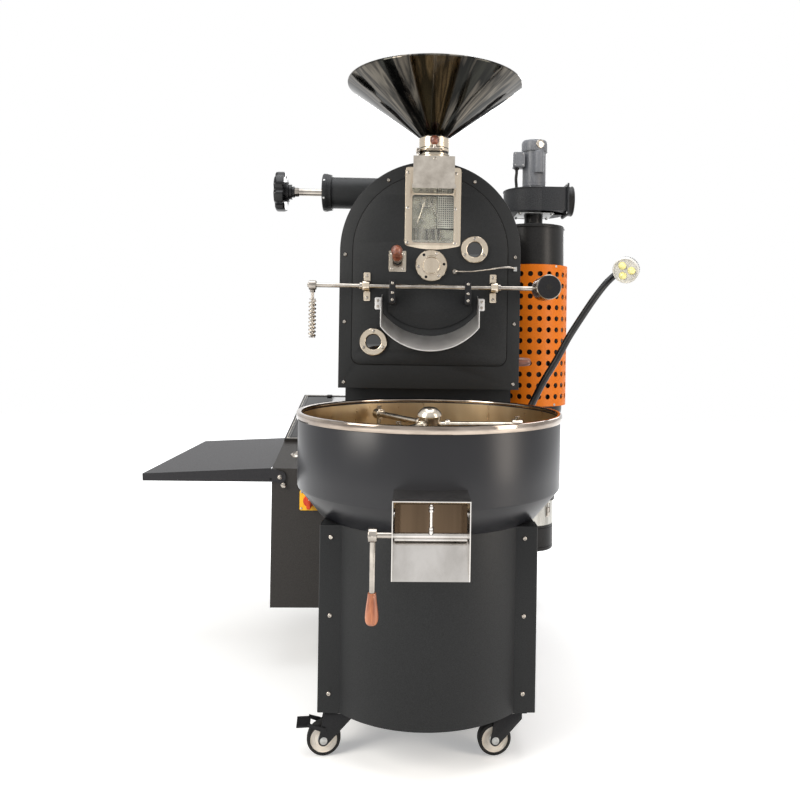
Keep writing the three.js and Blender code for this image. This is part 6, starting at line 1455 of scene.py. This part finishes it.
def make_shelf():
    dress("side_shelf", "shelf", 0.8)
    pivots = joined(
        washer(-408, 253, 540, -Y, 6.4, 0.8), screw(-408, 252.2, 540, -Y, 5.4, 3.2),
        washer(-408, 865, 540, Y, 9.5, 1.2), screw(-408, 866.2, 540, Y, 6.6, 3.4),
    )
    add("shelf_pivot_screws", pivots, "bright_cabinet")
    knob = joined(
        lathe([(0, 0), (6.8, 0), (6.8, 2), (5.4, 2.6), (5.4, 8), (0, 8)], (-397, 253, 518), -Y, 28),
        plate(rounded(-404.5, -389.5, 514.8, 521.2, 2.8), "XZ", 244, 247.4, 0.8),
    )
    knob = turned(knob, Y, 32, (-397, 250, 518))
    add("shelf_thumb_screw", knob, "bright_cabinet", "side_shelf", edge=0.3)
    # Painted shade: a dark disc stands for the shade inside the shelf's hole.
    add("shelf_hole_painted_shade", rod(3.2, (-433, 252.7, 534.5), Y, 1.0, 20), "painted_shade_black_cabinet", "side_shelf")


LAMP_FOOT = (255, 337, 614.3)
LAMP_RUN = [
    (255, 337, 619.3), (255, 337, 632), (262, 337, 652), (276, 337, 686), (301, 337, 741), (334, 337, 808),
    (373, 337, 875), (407, 337, 939), (447, 337, 1003), (481, 338, 1054), (514, 344, 1096), (544, 355, 1124),
    (570, 364, 1146), (588, 360, 1158), (592, 349, 1159), (579, 326, 1149),
]
LAMP_AIM = Vector((-0.45, -0.82, -0.35)).normalized()
NECK_STEP, RIB_PITCH = 1.25, 5


def even_run(points, step):
    """The smooth run through points, cut into even steps, and its length."""
    run = smooth_run(points, 24)
    lengths = [0.0]
    for a, b in zip(run, run[1:]):
        lengths.append(lengths[-1] + (b - a).length)
    total = lengths[-1]
    count = int(total / step)
    even, k = [], 0
    for i in range(count + 1):
        want = total * i / count
        while k < len(run) - 2 and lengths[k + 1] < want:
            k += 1
        share = (want - lengths[k]) / max(lengths[k + 1] - lengths[k], 1e-9)
        even.append(run[k].lerp(run[k + 1], min(max(share, 0.0), 1.0)))
    return even, total


def make_neck():
    even, total = even_run(LAMP_RUN, NECK_STEP)
    ribs = round(total / RIB_PITCH)

    def ribbed(share):
        return 9.55 + 0.85 * abs(math.sin(math.pi * ribs * share)) ** 0.6

    add("lamp_neck", tube(even, ribbed, 20), "black_plastic", "lamp_arm", ["gooseneck"], angle=60)
    foot = lathe([
        (0, 0), (14, 0), (15, 1), (15, 8), (13.6, 10), (12.4, 10), (12.4, 18), (11.4, 19.4), (0, 19.4),
    ], LAMP_FOOT, Z, 48)
    add("lamp_foot", foot, "black_plastic", "lamp_arm")
    ball = lathe([(0, -13), (5, -12), (9.2, -9.2), (12, -5), (13, 0), (12, 5), (9.2, 9.2), (5, 12), (0, 13)],
                 LAMP_RUN[-1], LAMP_AIM, 40)
    add("lamp_ball", ball, "black_plastic", "lamp_arm")


def make_lamp_head():
    pivot = Vector(LAMP_RUN[-1])
    toward = Z.rotation_difference(LAMP_AIM)
    rear = lathe([
        (13.9, 0), (18, 0), (21.6, 1.6), (24, 5), (24, 33), (30, 34.6), (34.4, 36.4), (34.4, 45), (0, 45),
        (0, 14), (10, 9.7), (13, 5), (13.9, 0),
    ], pivot, LAMP_AIM, 72)
    add("lamp_rear", rear, "black_plastic_grey", "lamp_head", ["lamp_head"], angle=30)
    fins = []
    for count, fin in ((44, box(33.4, 36.4, -1.25, 1.25, 35, 50)), (30, box(23, 25.6, -1.0, 1.0, 8, 31))):
        for i in range(count):
            points, faces = turned(fin, Z, 360 * i / count)
            fins.append(([tuple(pivot + toward @ Vector(p)) for p in points], faces))
    add("lamp_fins", joined(*fins), "black_plastic_grey", "lamp_head", edge=0.25)
    bezel = lathe([
        (33.6, 44), (36, 44), (37, 45), (37, 57), (36, 58), (34, 58), (33, 56.6), (32.4, 54), (0, 54), (0, 50),
        (33.6, 50),
    ], pivot, LAMP_AIM, 96)
    add("lamp_bezel", bezel, "lamp_white", "lamp_head", angle=30)
    dome = [(11.2 * x, 54 + 10.4 * y) for x, y in around(0, 0, 1, range(10, 90, 10))]
    cup = [(11.6, 53.8), (13, 53.8), (13.2, 54.6), (12.6, 55.6), (11.6, 55.8)]
    spots = [pivot + toward @ Vector((x, y, 0)) for x, y in around(0, 0, 17, (90, 210, 330))]
    domes = [lathe([(0, 53.6), (11.5, 53.6), *dome, (0, 64.4)], spot, LAMP_AIM, 40) for spot in spots]
    cups = [ring(cup, spot, LAMP_AIM, 40) for spot in spots]
    add("lamp_lenses", joined(*domes), "led_yellow", "lamp_head", angle=60)
    add("lamp_lens_rings", joined(*cups), "lamp_white", "lamp_head")
    add("lamp_boss_bolt", hex_nut(272, 337, 602, X, 8, 5), "zinc")


for make in (make_console, make_cabinet, make_shelf, make_neck, make_lamp_head):
    make()


# Floor, lights and camera

def seen_directly(tree):
    """1 for the rays that show the background, and 0 for the rays that light the object."""
    path = tree.nodes.new("ShaderNodeLightPath").outputs
    value = path["Is Camera Ray"]
    for name in ("Is Glossy Ray", "Is Transmission Ray"):
        value = new_node(tree, "ShaderNodeMath", {0: value, 1: path[name]}, operation="MAXIMUM").outputs[0]
    return value


def make_world():
    """A soft blue-grey light all round, which the camera and the reflections see as white."""
    world = bpy.data.worlds.new("studio")
    world.use_nodes = True
    scene.world = world
    tree = world.node_tree
    lit = feed(tree.nodes["Background"], {"Color": shade(232, 236, 242), "Strength": 0.42})
    seen = new_node(tree, "ShaderNodeBackground", {"Color": (1, 1, 1, 1), "Strength": 1.0})
    mix = new_node(tree, "ShaderNodeMixShader", {
        "Fac": seen_directly(tree), 1: lit.outputs["Background"], 2: seen.outputs["Background"],
    })
    feed(tree.nodes["World Output"], {"Surface": mix.outputs["Shader"]})


def make_floor():
    """A pale floor, seen as white, more so away from the object, that keeps the shadow cast on it."""
    pale = Finish("pale_floor", None, (246, 246, 245), 0.9)
    pale.give(Specular_IOR_Level=0.0)
    away = pale.node("ShaderNodeVectorMath", {0: pale.coordinates}, operation="LENGTH").outputs["Value"]
    spread = pale.node("ShaderNodeMapRange", {
        "Value": away, "From Min": 0.9, "From Max": 2.6, "To Min": 0.3, "To Max": 1.0,
    })
    strength = pale.math("MULTIPLY", spread.outputs["Result"], seen_directly(pale.tree))
    shine = pale.node("ShaderNodeEmission", {"Strength": strength})
    both = pale.node("ShaderNodeAddShader", {0: pale.shader.outputs["BSDF"], 1: shine.outputs["Emission"]})
    feed(pale.tree.nodes["Material Output"], {"Surface": both.outputs["Shader"]})
    mesh = bpy.data.meshes.new("floor")
    half = 6.0
    mesh.from_pydata([(x, y, 0) for x, y in rectangle(-half, half, -half, half)], [], [(0, 1, 2, 3)])
    mesh.materials.append(pale.material)
    floor = bpy.data.objects.new("floor", mesh)
    scene.collection.objects.link(floor)


def area_light(name, place, size, power, colour):
    """A light that aims at the object's middle."""
    light = bpy.data.lights.new(name, "AREA")
    light.shape = "RECTANGLE"
    light.size, light.size_y = size
    light.energy = power
    light.color = shade(*colour)[:3]
    lamp = bpy.data.objects.new(name, light)
    lamp.location = here(*place)
    aim = here(0, 200, 900) - here(*place)
    lamp.rotation_euler = aim.to_track_quat("-Z", "Y").to_euler()
    scene.collection.objects.link(lamp)


def make_lights():
    area_light("key_left", (-2600, -1700, 2300), (1.5, 2.4), 105, (255, 250, 242))
    area_light("fill_right", (2500, -1300, 1500), (0.9, 2.6), 48, (255, 244, 232))
    area_light("top", (0, 100, 3400), (2.4, 2.4), 60, (250, 252, 255))
    area_light("rear", (600, 3200, 2300), (2.4, 1.6), 45, (255, 255, 255))


CAMERA_PLACE = (-29, -1838, 948)
CAMERA_YAW_DEGREES = -1.6
CAMERA_ROLL_DEGREES = 0.85
FOCAL_PIXELS = 752
PHOTO_PIXELS = 800
AXIS_PIXEL = (440, 332)
SENSOR_WIDTH = 36


def make_camera():
    data = bpy.data.cameras.new("camera")
    data.sensor_width = SENSOR_WIDTH
    data.sensor_fit = "HORIZONTAL"
    data.lens = SENSOR_WIDTH * FOCAL_PIXELS / PHOTO_PIXELS
    data.shift_x = (PHOTO_PIXELS / 2 - AXIS_PIXEL[0]) / PHOTO_PIXELS
    data.shift_y = (AXIS_PIXEL[1] - PHOTO_PIXELS / 2) / PHOTO_PIXELS
    camera = bpy.data.objects.new("camera", data)
    turn = Matrix.Rotation(math.radians(CAMERA_YAW_DEGREES), 4, "Z")
    upright = Matrix.Rotation(math.radians(90), 4, "X")
    roll = Matrix.Rotation(math.radians(CAMERA_ROLL_DEGREES), 4, "Z")
    camera.matrix_world = Matrix.Translation(here(*CAMERA_PLACE)) @ turn @ upright @ roll
    scene.collection.objects.link(camera)
    scene.camera = camera


make_world()
make_floor()
make_lights()
make_camera()
scene.view_settings.view_transform = "Standard"
